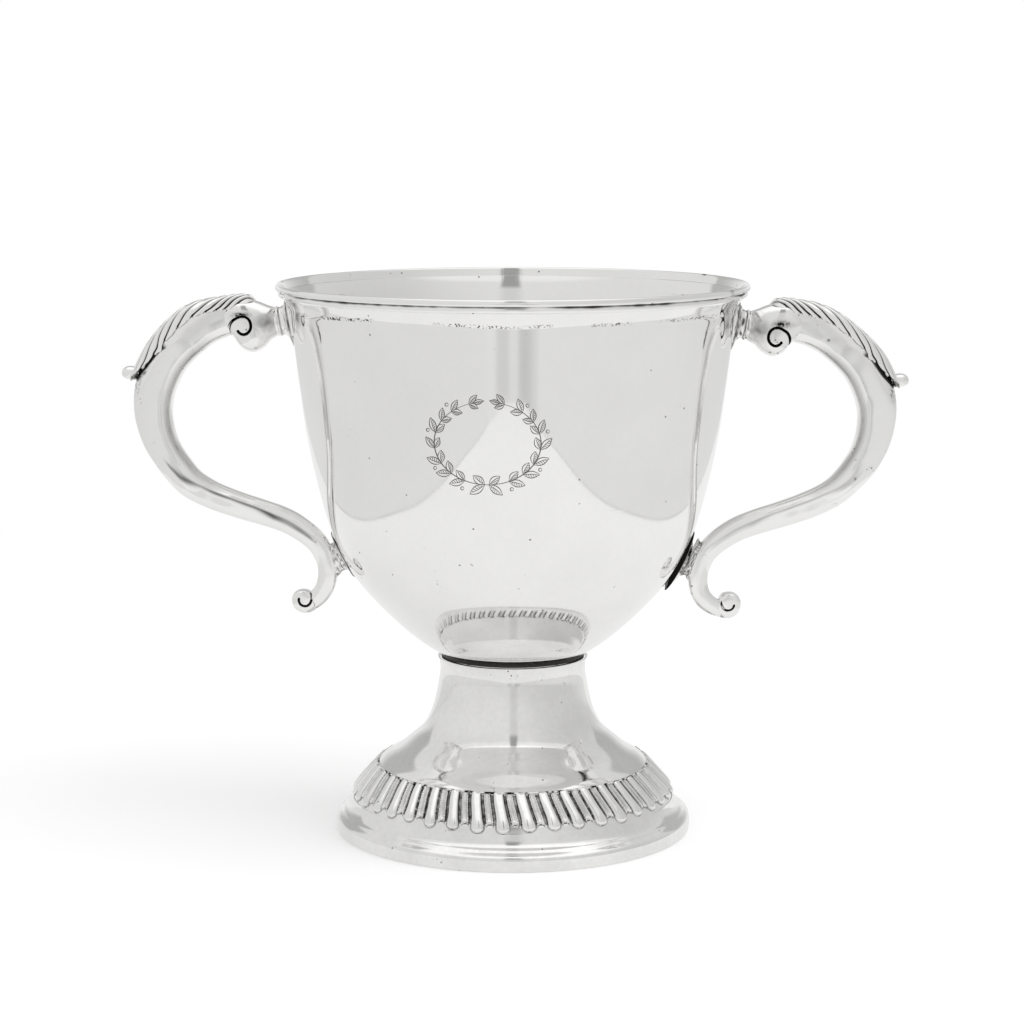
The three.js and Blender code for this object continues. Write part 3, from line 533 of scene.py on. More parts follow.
shares = [i / BORDER_ROWS for i in range(BORDER_ROWS + 1)]
border_line = smooth_line(BORDER_SIDE, 0.1)
border_line = [border_line[round(share * (len(border_line) - 1))] for share in shares]
border_section = border_line + [Vector(p) for p in BORDER_BACK]
border_shape = spun(border_section, LOBES * LOBE_COLUMNS, LOBES, shares + [-1, -1])
run_layer = border_shape.verts.layers.float["run"]
black_layer = border_shape.verts.layers.float.new("tarnish_and_shade")
hand = random.Random(40)
lobe_hand = [{
    "aside": hand.uniform(-0.4, 0.4), "wide": hand.uniform(0.94, 1.06),
    "long": hand.uniform(-0.03, 0.03)} for _ in range(LOBES)]


def step_up(value, low, high):
    """0 below low and 1 above high, with a soft rise between."""
    share = min(1, max(0, (value - low) / (high - low)))
    return share * share * (3 - 2 * share)


def hump(value, centre, width):
    """1 at the centre, falling softly to nothing on both sides."""
    return math.exp(-((value - centre) / width) ** 2)


def lobe(aside, run, own):
    """Height of a lobe's surface, and how black the cut beside it is."""
    end = LOBE_END + own["long"]
    half = own["wide"] * (1.72 + 0.2 * hump(run, LOBE_BULB, 0.13) - 0.34 * run)
    out = math.hypot(abs(aside) / half, max(0, end + 0.12 - run) / 0.12)
    height = LOBE_HEIGHT * (1 - 0.4 * step_up(run, 0.25, 1))
    if out >= 1:
        return 0, 0.95 - step_up((out - 1) * half, 0.12, 0.45)
    return height * math.sqrt(1 - out ** 2.3), step_up(out, 0.93, 1) * 0.7


def flute(aside, run):
    """Height of a flute's two ridges and hollow, and how black its hollow and cusped end are."""
    out = abs(aside) / (1.08 - 0.18 * run)
    end = FLUTE_END - 0.05 * min(out, 1.1) ** 2
    if out >= 1.08 or run < end:
        under = step_up(run, end - 0.04, end - 0.01) if out < 1.05 and run < end else 0
        return 0, under * 0.8
    ridge = hump(out, 0.82, 0.19)
    lip = hump(run, end, 0.035)
    height = FLUTE_HEIGHT * (1 - 0.35 * step_up(run, 0.3, 1)) * step_up(run, end, end + 0.02)
    hollow = (1 - ridge) * step_up(run, end + 0.03, end + 0.2)
    return height * (0.3 + 0.7 * max(ridge, lip)), 0.34 * hollow


border_shape.normal_update()
for corner in border_shape.verts:
    run = corner[run_layer]
    if run >= 0:
        turn = math.atan2(corner.co.y, corner.co.x) + math.pi / 2
        along = turn / (2 * math.pi) * LOBES + LOBE_PHASE + LEAN * step_up(run, 0.05, 1.15)
        number = round(along)
        own = lobe_hand[number % LOBES]
        scale = PITCH * (1 - 0.13 * run)
        from_lobe = (along - number) * scale + own["aside"] * 0.4
        from_flute = (along - math.floor(along) - 0.5) * scale
        lobe_up, lobe_black = lobe(from_lobe, run, own)
        flute_up, flute_black = flute(from_flute, run)
        gap = step_up(run, 0.18, 0.28) if lobe_up == 0 and flute_up == 0 else 0
        corner.co += corner.normal * (max(lobe_up, flute_up) - 0.3 * gap) * MM
        top = step_up(run, 0.93, 1) * 0.4
        edge = lobe_black * (0.75 + 0.25 * step_up(run, 0.16, 0.3))
        spotty = 0.85 + 0.35 * noise.noise(corner.co / (1.3 * MM))
        shade_and_tarnish = max(gap * 0.9, flute_black, edge, top) if lobe_up < 0.3 else edge
        corner[black_layer] = min(1, shade_and_tarnish * spotty)
cast_silver = Finish(
    "chased_silver", STERLING, polish=0.09, pits=0.33, tarnish_and_shade=True, wear=0.12).material
made(
    "gadrooned_border", border_shape, cast_silver, "silver_cast", "foot_gadroon_border", crease=60)


# Foot flange. The lowest ring of the foot: a cove that spreads to an upright edge, with a flat ring
# under it that the cup stands on.
FLANGE_SIDE = [
    (52.0, 0.3), (52.05, 2.2), (51.9, 3.7), (51.55, 4.25), (51.0, 4.7), (50.3, 5.2), (49.7, 5.75),
    (48.9, 6.3), (48.1, 7.2), (47.4, 8.6), (47.05, 9.6),
]
FLANGE_UNDER = [(45.3, 9.4), (47.2, 5.0), (49.4, 3.6), (49.4, 0), (51.7, 0)]

flange_line = smooth_line(FLANGE_SIDE, 0.25)
flange_shape = spun(flange_line + [Vector(p) for p in FLANGE_UNDER])
unevenness(flange_shape, depth=0.05, breadth=7, seed=31)
made("foot_ring", flange_shape, foot_silver, "silver_sheet", "foot_flange")


# Handles' upper plates. Each is a trumpet-shaped flange cast with the handle's neck and soldered to
# the bowl's side, with a narrow bead round the neck.
HANDLE_SIDES = {"left": (-1, 1.1), "right": (1, -1.1)}  # which way it points, and its rise
NECK_HEIGHT = 148.9
FLANGE_FLAT = 4  # the flange is bent to the bowl from this distance outwards
FLANGE_EDGE = 6.5
FLANGE_DROP = 1.22  # how much longer the flange is below the neck than above it
PLATE_PROFILE = [
    (-1.2, 6.5), (0.0, 6.75), (0.5, 6.5), (0.9, 5.7), (1.5, 4.75), (2.3, 4.15), (3.0, 4.05),
    (3.3, 4.35), (3.6, 4.4), (3.85, 4.1), (4.4, 4.1), (5.0, 3.6),
]
TILT = math.radians(10)
PLATE_SUNK = 0.5  # how far its back sinks in the bowl's wall, which is a millimetre thick


def both_sides(name, build, material, *node_names, crease=40):
    """Makes a piece for each handle. build(rise) makes it pointing to +X, in millimetres."""
    for side, (way, rise) in HANDLE_SIDES.items():
        shape = build(rise)
        bmesh.ops.scale(shape, vec=(way * MM, MM, MM), verts=shape.verts)
        bmesh.ops.recalc_face_normals(shape, faces=shape.faces)
        nodes = [f"{side}_{node}" for node in node_names]
        made(f"{side}_{name}", shape, material, "silver_cast", *nodes, crease=crease)


def shifted(shape, aside, up):
    """Moves a shape out from the cup and up."""
    bmesh.ops.translate(shape, verts=shape.verts, vec=(aside, 0, up))
    return shape


def upper_plate(rise):
    """The flange and neck, turned about the line that stands on the bowl's side."""
    height = NECK_HEIGHT + 0.45 * rise
    wall = bowl_radius(height)
    shape = bmesh.new()
    profile = smooth_line(PLATE_PROFILE, 0.2)
    corners = [shape.verts.new((p[0], 0, p[1])) for p in profile]
    edges = [shape.edges.new(pair) for pair in zip(corners, corners[1:])]
    bmesh.ops.spin(
        shape, geom=corners + edges, cent=(0, 0, 0), axis=(1, 0, 0), angle=2 * math.pi,
        steps=72, use_merge=True)
    bmesh.ops.holes_fill(shape, edges=[e for e in shape.edges if e.is_boundary])
    black = shape.verts.layers.float.new("tarnish_and_shade")
    for corner in shape.verts:
        place = corner.co
        edge = step_up(math.hypot(place.y, place.z), FLANGE_FLAT, FLANGE_EDGE)
        place.x -= edge * place.y ** 2 / (2 * wall)
        if place.z < 0:
            place.z *= 1 + (FLANGE_DROP - 1) * edge
        patch = noise.noise(Vector((place.y * 0.5, place.z * 0.5, 3 + rise)))
        streak = noise.noise(Vector((place.x * 2.2, place.y * 0.8, place.z * 0.5 + rise)))
        mottle = (2.6 if rise < 0 else 0.9) * streak - 0.3
        beside_bead = 0.6 * hump(place.x, 3.0, 0.2)
        round_foot = hump(place.x, 0.55, 0.3) * (0.8 + patch)
        corner[black] = min(0.85, max(0, beside_bead, round_foot, mottle))
    bmesh.ops.rotate(shape, verts=shape.verts, matrix=Matrix.Rotation(TILT, 3, "Y"))
    shifted(shape, wall + 0.15, height)
    for corner in shape.verts:
        deepest = bowl_radius(corner.co.z) - PLATE_SUNK
        corner.co.x = max(corner.co.x, math.sqrt(deepest ** 2 - corner.co.y ** 2))
    return shape


handle_silver = Finish("handle_silver", STERLING, polish=0.1, pits=0.36, tarnish_and_shade=True).material
both_sides("neck_plate", upper_plate, handle_silver, "upper_plate")


# Handles' upper scrolls. A cast swelling that rolls over from the neck and curls in under itself,
# with the end of the roll cut as a spiral on both faces. The cut is black to its bottom.
SCROLL_CENTRE = (75.4, 147.6)
SCROLL_HALF_WIDTH = 5.15
SCROLL_OUTLINE = [
    (65.6, 147.6), (67.2, 144.9), (69.6, 143.6), (71.6, 141.6), (74.6, 140.35), (77.4, 141.3),
    (79.5, 143.7), (81.3, 145.2), (83.5, 148), (83.3, 151.8), (80.6, 154.7), (77.4, 155.2),
    (73.8, 154.7), (70.6, 153.5), (67.6, 152.3), (65.7, 150.5),
]
SPIRAL_EYE = Vector((76.45, 146.1))
SPIRAL = [
    (-38, 4.4), (27, 3.23), (53, 2.85), (98, 2.85), (168, 2.45), (222, 2.42), (264, 2.4),
    (312, 1.93),
]
SPIRAL_WIDTH = 0.34
SPIRAL_DEPTH = 1.0
NECK_DIRECTION = 172  # from the scroll's centre, in degrees
DARK_PATCH_ABOVE_SPIRAL = (77.3, 149.8)
# Centre of the painted shade on the scroll's neck, a painted dark reflection.
PAINTED_SHADE_AT_NECK = (70.4, 147.6)
SCROLL_SHIFT = 0.8  # the two volutes stand a little apart, as hand work does


def around(centre, knots):
    """How far a closed outline lies from its centre in each direction."""
    lap = 2 * math.pi
    polar = []
    for x, z in knots:
        aside, up = x - centre[0], z - centre[1]
        polar.append((math.atan2(up, aside) % lap, math.hypot(aside, up)))
    polar.sort()
    # A radian counts for eight millimetres, and a lap before and after lets the ends meet.
    line = smooth_line([((t + lap * n) * 8, r) for n in (-1, 0, 1) for t, r in polar], 0.4)
    return lambda turn: read_off(line, turn % lap * 8)


def away(turn, direction):
    """How far a turn lies from a direction in degrees."""
    return abs((math.degrees(turn) - direction + 180) % 360 - 180)


def spiral_line(eye, knots):
    """The points of a spiral cut, from (direction in degrees, distance) pairs about its eye."""
    # Twenty degrees count for a millimetre while the line is smoothed.
    unrolled = [(turn / 20, radius) for turn, radius in knots]
    points = []
    for turn, radius in smooth_line(unrolled, 0.15):
        turn = math.radians(turn * 20)
        points.append(eye + Vector((math.cos(turn) * radius, math.sin(turn) * radius)))
    return points


def finder(line):
    """A way to ask how far a point is from a line, and how far along the line that is."""
    tree = KDTree(len(line))
    for i, point in enumerate(line):
        tree.insert(point.to_3d(), i)
    tree.balance()

    def nearest(point):
        _, index, gap = tree.find(point)
        return gap, index / (len(line) - 1)
    return nearest


def pillow(centre, knots, half_width, squareness, segments, rings):
    """A ball pressed to an outline in the XZ plane: flat-faced where squareness(turn) is high."""
    shape = bmesh.new()
    bmesh.ops.create_uvsphere(shape, u_segments=segments, v_segments=rings, radius=1)
    bmesh.ops.rotate(shape, verts=shape.verts, matrix=Matrix.Rotation(math.pi / 2, 3, "X"))
    reach = around(centre, knots)
    known = {}
    for corner in shape.verts:
        turn = math.atan2(corner.co.z, corner.co.x)
        key = round(turn, 4)
        if key not in known:
            known[key] = (reach(turn), squareness(turn))
        far, square = known[key]
        share = math.hypot(corner.co.x, corner.co.z)
        face = math.copysign(half_width, corner.co.y) * max(0, 1 - share ** square) ** (1 / square)
        if abs(corner.co.y) < 1e-6:
            face = 0
        aside, up = math.cos(turn) * share * far, math.sin(turn) * share * far
        corner.co = Vector((centre[0] + aside, face, centre[1] + up))
    return shape


def carved(shape, line, width, depth, extra=None):
    """Cuts a line into both faces of a shape and blackens the cut."""
    black = shape.verts.layers.float.new("tarnish_and_shade")
    nearest = finder(line)
    for corner in shape.verts:
        gap, along = nearest(Vector((corner.co.x, corner.co.z, 0)))
        taper = step_up(along, 0, 0.12) * 0.55 + 0.45
        cut = 1 - step_up(gap, 0.35 * width * taper, width * taper * 1.35)
        corner.co.y -= math.copysign(min(abs(corner.co.y), depth * cut), corner.co.y)
        corner[black] = min(1, 1.35 * cut)
        if extra:
            corner[black] = max(corner[black], extra(corner.co))


def own_shoulder(shape, rise):
    """Lowers the left handle's shoulder a little, as its pair is not quite the same."""
    for corner in shape.verts:
        high = step_up(corner.co.z, 148.5, 153.5) * (1 - step_up(corner.co.x, 84, 97))
        corner.co.z -= max(0, rise) * high


def own_spiral(rise):
    """Each handle's spiral stands a little apart, with its scroll."""
    return spiral_line(SPIRAL_EYE + Vector((SCROLL_SHIFT * rise, 0.5 * rise)), SPIRAL)


def beside_spiral(place, rise):
    """A dark patch that spreads above the cut."""
    x, z = DARK_PATCH_ABOVE_SPIRAL
    near = hump(place.x, x + 0.36 * rise, 2.3) * hump(place.z, z + 0.35 * rise, 0.9)
    return near * (1 + noise.noise(place * 1.6))


def upper_scroll(rise):
    def squareness(turn):
        """High for a flat face, and low towards the neck, where the scroll is round."""
        return 2.15 + 1.6 * step_up(away(turn, NECK_DIRECTION), 10, 170)

    # The patch at the neck is painted shade, a painted dark reflection; the patch above the spiral
    # is joined to it.
    def shade_and_tarnish(place):
        x, z = PAINTED_SHADE_AT_NECK
        neck = hump(place.x, x, 2.9) * hump(place.z, z, 3.0)
        return max(beside_spiral(place, rise), neck * (0.55 + 0.3 * noise.noise(place * 0.6)))
    shape = pillow(
        SCROLL_CENTRE, SCROLL_OUTLINE, SCROLL_HALF_WIDTH, squareness, segments=220, rings=150)
    for corner in shape.verts:
        below = step_up(SCROLL_CENTRE[1] - corner.co.z, 0, 5)
        corner.co.z -= below * (0.95 + 0.45 * rise)
    carved(shape, own_spiral(rise), SPIRAL_WIDTH, SPIRAL_DEPTH, shade_and_tarnish)
    own_shoulder(shape, rise)
    return shifted(shape, 0, rise)


both_sides("rolled_scroll", upper_scroll, handle_silver, "upper_scroll")


# Handles' arms. Each is cast hollow in two halves, seamed down the middle and filed smooth. It is
# fullest near the top, and narrows in a double curve to the lower scroll.
ARM_LINE = [
    (80.2, 149.8, 11.2), (86.0, 148.4, 11.9), (91.7, 145.4, 12.25), (100.2, 136.9, 12.2),
    (104.45, 125.0, 11.3), (102.5, 112.8, 9.8), (94.9, 101.9, 8.5), (88.7, 97.8, 7.95),
    (81.2, 94.8, 7.55), (66.4, 89.9, 7.0), (60.4, 86.3, 6.6), (56.2, 82.2, 6.2), (54.0, 76.3, 5.8),
    (54.6, 70.4, 5.6), (57.1, 66.8, 5.25), (60.2, 64.9, 4.8), (61.6, 64.7, 4.3),
]
ARM_STEP = 0.5
ARM_WIDTH = 0.86
ARM_SQUARENESS = 3.0
ARM_STATIONS = 280
ARM_SIDES = 120
LEAF_FROM = -0.062  # the leaf's ends, as shares of the arm's run
LEAF_TO = 0.252
# Where the cuts between its ribs reach its edge, as shares of the arm's run.
LEAF_CUTS = [
    -0.09, -0.065, -0.045, -0.025, -0.006, 0.014, 0.033, 0.054, 0.083, 0.12, 0.159, 0.194, 0.228,
    0.262, 0.3, 0.34,
]
LEAF_SLANT = (0.058, 0.1)  # how far a cut runs on from ridge to edge, at the root and further down
LEAF_HEIGHT = 1.15
LEAF_SHEET = 0.7  # its own thickness
LEAF_SPREAD = math.radians(73)
LEAF_ROOT = 0.04
LEAF_TOOTH = 0.1
LEAF_LIFT = 1.0
ARM_LEAN = 0.62  # the left arm stands in a little and the right one out, as hand work does
# The filed edge of the arm's lower run: (share of the run, degrees round from the outer ridge).
FACET = [
    (0.395, 78), (0.42, 82), (0.475, 88), (0.53, 100), (0.6, 103), (0.655, 100), (0.705, 92),
    (0.76, 90), (0.83, 90),
]
FACET_HEIGHT = 0.34
FACET_PAINTED_SHADE = {True: 1.0, False: 0.3}  # how dark its line of painted shade is, on the left arm and on the right
VENTS = [(90.0, 144.8), (98.3, 104.5)]  # small holes in the right arm, each painted as a black spot of shade
VENT_WIDTH = 0.3464
TAIL_RISE = 0.75  # how much higher the right arm's tail ends
INNER_EDGE = math.radians(134)  # where the arm turns over to its inner side
TIP_SHADE_SPREAD = math.radians(62)  # how far round the painted shade spreads past the leaf's tip

arm_line = eased(smooth_line(ARM_LINE, ARM_STEP), passes=12)


def squared(value, squareness=ARM_SQUARENESS):
    """Bends a cosine or sine, so that a round section turns into a squarer one."""
    return math.copysign(abs(value) ** (2 / squareness), value)


def part_way(line, share):
    """The point at a share of a line's run."""
    spot = min(max(share, 0), 1) * (len(line) - 1)
    i = min(int(spot), len(line) - 2)
    return line[i].lerp(line[i + 1], spot - i)


def arm_frame(share):
    """The arm's middle, its thickness and the direction outwards, at a share of its run."""
    i = min(int(min(max(share, 0), 1) * (len(arm_line) - 1)), len(arm_line) - 2)
    x, z, thick = part_way(arm_line, share)
    run = arm_line[min(i + 2, len(arm_line) - 1)] - arm_line[max(i - 1, 0)]
    along = Vector((run[0], run[1])).normalized()
    return Vector((x, z)), thick, Vector((-along[1], along[0]))


def on_arm(share, turn, lift=0):
    """A place on the arm's surface. A turn of 0 is the outer ridge."""
    middle, thick, out = arm_frame(share)
    up = (thick / 2 + lift) * squared(math.cos(turn))
    start = 0.8 + 0.2 * step_up(share, -0.03, 0.16)  # it runs in behind the scroll's face
    aside = (thick * ARM_WIDTH / 2 * start + lift) * squared(math.sin(turn))
    place = middle + out * up
    return Vector((place[0], aside, place[1]))


def closed(shape):
    """Joins a skin's seam, fills its ends and turns its faces outwards."""
    bmesh.ops.remove_doubles(shape, verts=shape.verts, dist=1e-4)
    bmesh.ops.holes_fill(shape, edges=[e for e in shape.edges if e.is_boundary])
    bmesh.ops.recalc_face_normals(shape, faces=shape.faces)
    shape.normal_update()
    return shape


def skin(stations, columns, rule):
    """A skin of rows and columns. rule(share of its length, from -0.5 to 0.5 across it) gives
    each corner's place and how black it is."""
    shape = bmesh.new()
    bmesh.ops.create_grid(shape, x_segments=stations, y_segments=columns, size=0.5)
    black = shape.verts.layers.float.new("tarnish_and_shade")
    for corner in shape.verts:
        corner.co, corner[black] = rule(corner.co.x + 0.5, corner.co.y)
    return shape


def stretch(value, start, full, fade, end):
    """1 from full to fade, with a soft rise before and a soft fall after."""
    return step_up(value, start, full) * (1 - step_up(value, fade, end))


def leaf_edge(along):
    """How far round the arm the leaf's side edge lies, at a share of the leaf's length."""
    if not 0 <= along <= 1:
        return 0
    narrow = math.sqrt(max(0.012, 1 - (max(0, along - 0.72) / 0.283) ** 2))
    return LEAF_SPREAD * narrow * (1 + 0.07 * hump(along, 0.73, 0.03))


def own_lean(shape, rise):
    """Moves the arm's bow a little in or out on each side."""
    for corner in shape.verts:
        corner.co.x -= ARM_LEAN * rise * stretch(corner.co.z, 96, 108, 138, 152)


def filed_edge(share, turn, thick, rise):
    """How far the filed edge stands up, and how dark the line of painted shade along it is."""
    if not FACET[0][0] <= share <= FACET[-1][0]:
        return 0, 0
    off = (abs(turn) - math.radians(read_off(FACET, share))) * thick / 2
    ends = stretch(share, 0.4, 0.5, 0.74, 0.83)
    broken = min(1, 0.75 + 0.6 * noise.noise(Vector((share * 18, rise, 0))))
    shade_and_tarnish = stretch(share, 0.41, 0.45, 0.79, 0.83) * broken * hump(off, 0, 0.13 + 0.19 * ends)
    return FACET_HEIGHT * ends * hump(off, 0.1, 0.75), shade_and_tarnish * FACET_PAINTED_SHADE[rise > 0]


def painted_shade_inner_side(share, turn, thick, rise):
    """Painted shade: a darker band along the arm's inner side, and a black line where it turns
    over.
    """
    ragged = 0.45 + 0.5 * noise.noise(Vector((share * 40, rise, 5)))
    line = hump((abs(turn) - INNER_EDGE) * thick / 2, 0, 0.25) * ragged
    shaded_band = 0.36 * stretch(math.degrees(abs(turn)), 104, 132, 140, 160)
    return stretch(share, 0.05, 0.14, 0.42, 0.6) * max(line, shaded_band)


def painted_shade_beside_leaf(share, turn, rise):
    """Painted shade in the gap along the leaf's side edge, spreading in blotches further past it on
    the left arm.
    """
    edge = leaf_edge((share - LEAF_FROM) / (LEAF_TO - LEAF_FROM))
    if not edge or not 0.15 < share < LEAF_TO + 0.004:
        return 0
    gap = 0.03 + (0.06 if rise > 0 else 0.19) * step_up(share, 0.175, 0.24)
    shade_and_tarnish = 0.95 * step_up(share, 0.16, 0.172) * step_up(edge + gap - abs(turn), -0.03, 0.03)
    shade_spread = 0.45 * step_up(share, 0.195, 0.245)
    if rise < 0 or not shade_spread:
        return shade_and_tarnish
    blotch = 0.5 + 0.8 * noise.noise(Vector((share * 160, turn * 6, 1)))
    return max(shade_and_tarnish, blotch * step_up(edge + shade_spread - abs(turn), 0, 0.2))


def painted_shade_past_leaf(share, turn, rise):
    """Painted shade in blotches on the arm just past the leaf's tip, which stands clear of it."""
    solder_and_shade = hump(share, LEAF_TO + 0.008, 0.014) * step_up(TIP_SHADE_SPREAD - abs(turn), 0, 0.3)
    return solder_and_shade * (0.25 + 1.3 * noise.noise(Vector((share * 200, turn * 6, rise))))


def arm(rise):
    """The arm, with a filed edge along its lower run."""
    right = rise < 0
    to_spiral = finder(own_spiral(rise))

    def rule(share, across):
        share, turn = share ** 1.25, across * 2 * math.pi
        thick = arm_frame(share)[1]
        lift, filed = filed_edge(share, turn, thick, rise)
        place = on_arm(share, turn, lift)
        tail = step_up(share, 0.9, 1)
        place.z += (TAIL_RISE if right else 0) * tail
        place.y *= 1 + (0.15 if right else -0.22) * tail
        # Painted shade from the filed edge, the inner side and the leaf, with tarnish in the
        # spiral's cut.
        shade_and_tarnish = max(
            0, filed, painted_shade_inner_side(share, turn, thick, rise), painted_shade_beside_leaf(share, turn, rise),
            painted_shade_past_leaf(share, turn, rise))
        if share < 0.06:
            gap, _ = to_spiral(Vector((place.x, place.z, 0)))
            cut = 1.35 * (1 - step_up(gap, 0.12, SPIRAL_WIDTH * 1.35))
            shade_and_tarnish = max(shade_and_tarnish, cut, beside_spiral(place, rise))
        # Each vent is painted as a black spot, the shade inside a hole, with no hole cut.
        for x, z in VENTS if right else ():
            shade_and_tarnish = max(shade_and_tarnish, 1.2 * hump(math.hypot(place.x - x, place.z - z), 0, VENT_WIDTH))
        return place, min(1, shade_and_tarnish)
    shape = closed(skin(ARM_STATIONS, ARM_SIDES, rule))
    for corner in shape.verts:
        corner.co += corner.normal * 0.06 * noise.noise(corner.co * 0.2 + Vector((rise, 0, 0)))
    own_lean(shape, rise)
    own_shoulder(shape, rise)
    return shifted(shape, 0, rise)


both_sides("arm", arm, handle_silver, "handle_front_half", "handle_back_half")


# Handles' leaf caps. A cast leaf laid over the arm's back and soldered down: ribs sweep back from
# its ridge to a scalloped edge, and its tip stands clear of the arm, turned up to meet the thumb.
ARM_RUN = len(arm_line) * ARM_STEP
LEAF_STATIONS = 270
LEAF_COLUMNS = 108
CUT_HALF_WIDTH = 1.3  # from the bottom of a cut to the full height of the ribs beside it
BEND_DEPTH = 10.5  # the leaf's root bends round a point this far under the arm's ridge
BEND_RADIUS = 15.5


def leaf_place(share, turn, lift):
    """A place on the arm, or past its upper end on a bend that runs down over the scroll."""
    if share >= 0:
        return on_arm(share, turn, lift)
    middle, _, out = arm_frame(0)
    pivot = middle - out * BEND_DEPTH
    centre = Vector((pivot[0], 0, pivot[1]))
    swing = Matrix.Rotation(share * ARM_RUN / BEND_RADIUS, 3, "Y")
    return centre + swing @ (on_arm(0, turn, lift) - centre)


def leaf_rule(along, across):
    """A corner of the leaf's upper side, which has a rib for each space between two cuts."""
    side = across * 2
    out = abs(side)
    root = LEAF_ROOT * step_up(out, 0.5, 1) * (1 - along)
    share = LEAF_FROM + (LEAF_TO - LEAF_FROM) * along + root
    slant = LEAF_SLANT[0] + (LEAF_SLANT[1] - LEAF_SLANT[0]) * step_up(share, -0.02, 0.12)
    at_edge = share + slant * (1 - out)
    low = max(i for i, cut in enumerate(LEAF_CUTS[:-1]) if cut <= at_edge or i == 0)
    pitch = LEAF_CUTS[low + 1] - LEAF_CUTS[low]
    cycle = min(1, max(0, (at_edge - LEAF_CUTS[low]) / pitch))
    from_cut = min(cycle, 1 - cycle) * pitch * ARM_RUN
    tooth = 1 - math.sin(math.pi * cycle) ** 0.7
    inward = 1 - LEAF_TOOTH * tooth * step_up(out, 0.75, 1)
    turn = math.copysign(leaf_edge(along) * out * inward, side)
    rib = 1 - max(0, 1 - from_cut / CUT_HALF_WIDTH) ** 2
    crest = (1 - 0.5 * hump(out, 0, 0.06)) * (1 - 0.25 * out ** 3)
    rise = LEAF_HEIGHT * (0.3 + 0.7 * rib * step_up(along, 0, 0.03)) * crest
    clear = LEAF_LIFT * step_up(share, 0.155, LEAF_TO) ** 1.3 * (0.35 + 0.65 * out)
    lift = rise - (1 - step_up(along, 0, 0.08)) * 1.3 + clear
    groove = 1.1 * (1 - step_up(from_cut, 0.22, 0.62))
    shade_and_tarnish = min(0.9, groove * step_up(out, 0.03, 0.16) * step_up(along, 0, 0.04))
    return leaf_place(share, turn, lift), shade_and_tarnish


def leaf(rise):
    """The leaf, given its thickness by a second skin inside the first."""
    shape = skin(LEAF_STATIONS, LEAF_COLUMNS, leaf_rule)
    bmesh.ops.recalc_face_normals(shape, faces=shape.faces)
    shape.normal_update()
    if sum(f.normal.z for f in shape.faces) < 0:
        bmesh.ops.reverse_faces(shape, faces=shape.faces)
    inward = {tuple(corner.co): -corner.normal for corner in shape.verts}
    under = bmesh.ops.extrude_face_region(shape, geom=shape.faces[:])["geom"]
    black = shape.verts.layers.float["tarnish_and_shade"]
    for corner in [part for part in under if isinstance(part, bmesh.types.BMVert)]:
        corner.co += inward[tuple(corner.co)] * LEAF_SHEET
        # Painted shade on the leaf's underside, darker towards its lifted tip.
        corner[black] = 0.45 * step_up(corner.co.x, 92, 101)
    bmesh.ops.recalc_face_normals(shape, faces=shape.faces)
    own_lean(shape, rise)
    own_shoulder(shape, rise)
    return shifted(shape, 0, rise)


both_sides("leaf", leaf, handle_silver, "leaf_cap", crease=70)

TAB_LINE = [(107.0, 133.4, 2.4), (109.0, 133.1, 3.2), (110.6, 132.9, 3.8), (112.8, 132.8, 3.8)]
TAB_ROUND = 0.62  # the share of the tab after which its end is rounded
TAB_WIDTH = 2.3
TAB_SQUARENESS = 2.3
TAB_SHIFT = 1.5  # how much further out the right one stands


def thumb_tab(rise):
    """The leaf's upturned tip, rounded at its end."""
    line = smooth_line(TAB_LINE, 0.12)

    def rule(share, across):
        turn = (across + 0.5) * 2 * math.pi
        x, z, thick = part_way(line, share)
        end = math.sqrt(max(0.0, 1 - (max(0, share - TAB_ROUND) / (1 - TAB_ROUND)) ** 2))
        aside = TAB_WIDTH * end * squared(math.sin(turn), TAB_SQUARENESS)
        up = thick / 2 * end * squared(math.cos(turn), TAB_SQUARENESS)
        return Vector((x, aside, z + up)), 0
    shape = closed(skin(stations=40, columns=40, rule=rule))
    return shifted(shape, TAB_SHIFT if rise < 0 else 0, rise)


both_sides("thumb_tab", thumb_tab, handle_silver)


# Handles' lower scrolls. The tail of the arm curls out and back on itself in a small roll, with a
# round eye cut on each face.
KNOB_CENTRE = (62.2, 67.3)
KNOB_HALF_WIDTH = 2.75
KNOB_OUTLINE = [
    (59.0, 67.2), (58.2, 65.4), (58.3, 63.7), (59.6, 62.75), (62.0, 62.5), (64.6, 63.8),
    (65.7, 66.4), (65.4, 68.8), (64.0, 70.2), (62.0, 70.5), (60.1, 69.9), (59.2, 68.6),
]
KNOB_EYE = Vector((61.5, 66.9))
KNOB_SPIRAL = [(135, 2.3), (165, 2.1), (200, 2.0), (250, 2.15), (300, 2.0), (340, 1.75), (362, 1.6)]
KNOB_CUT_DEPTH = 0.6
TAIL_DIRECTION = 225  # where the arm's tail runs out of the curl, in degrees
KNOB_SHIFT = -0.75
KNOB_FOOT = (58.2, 62.5)  # the two curls differ in size about this corner


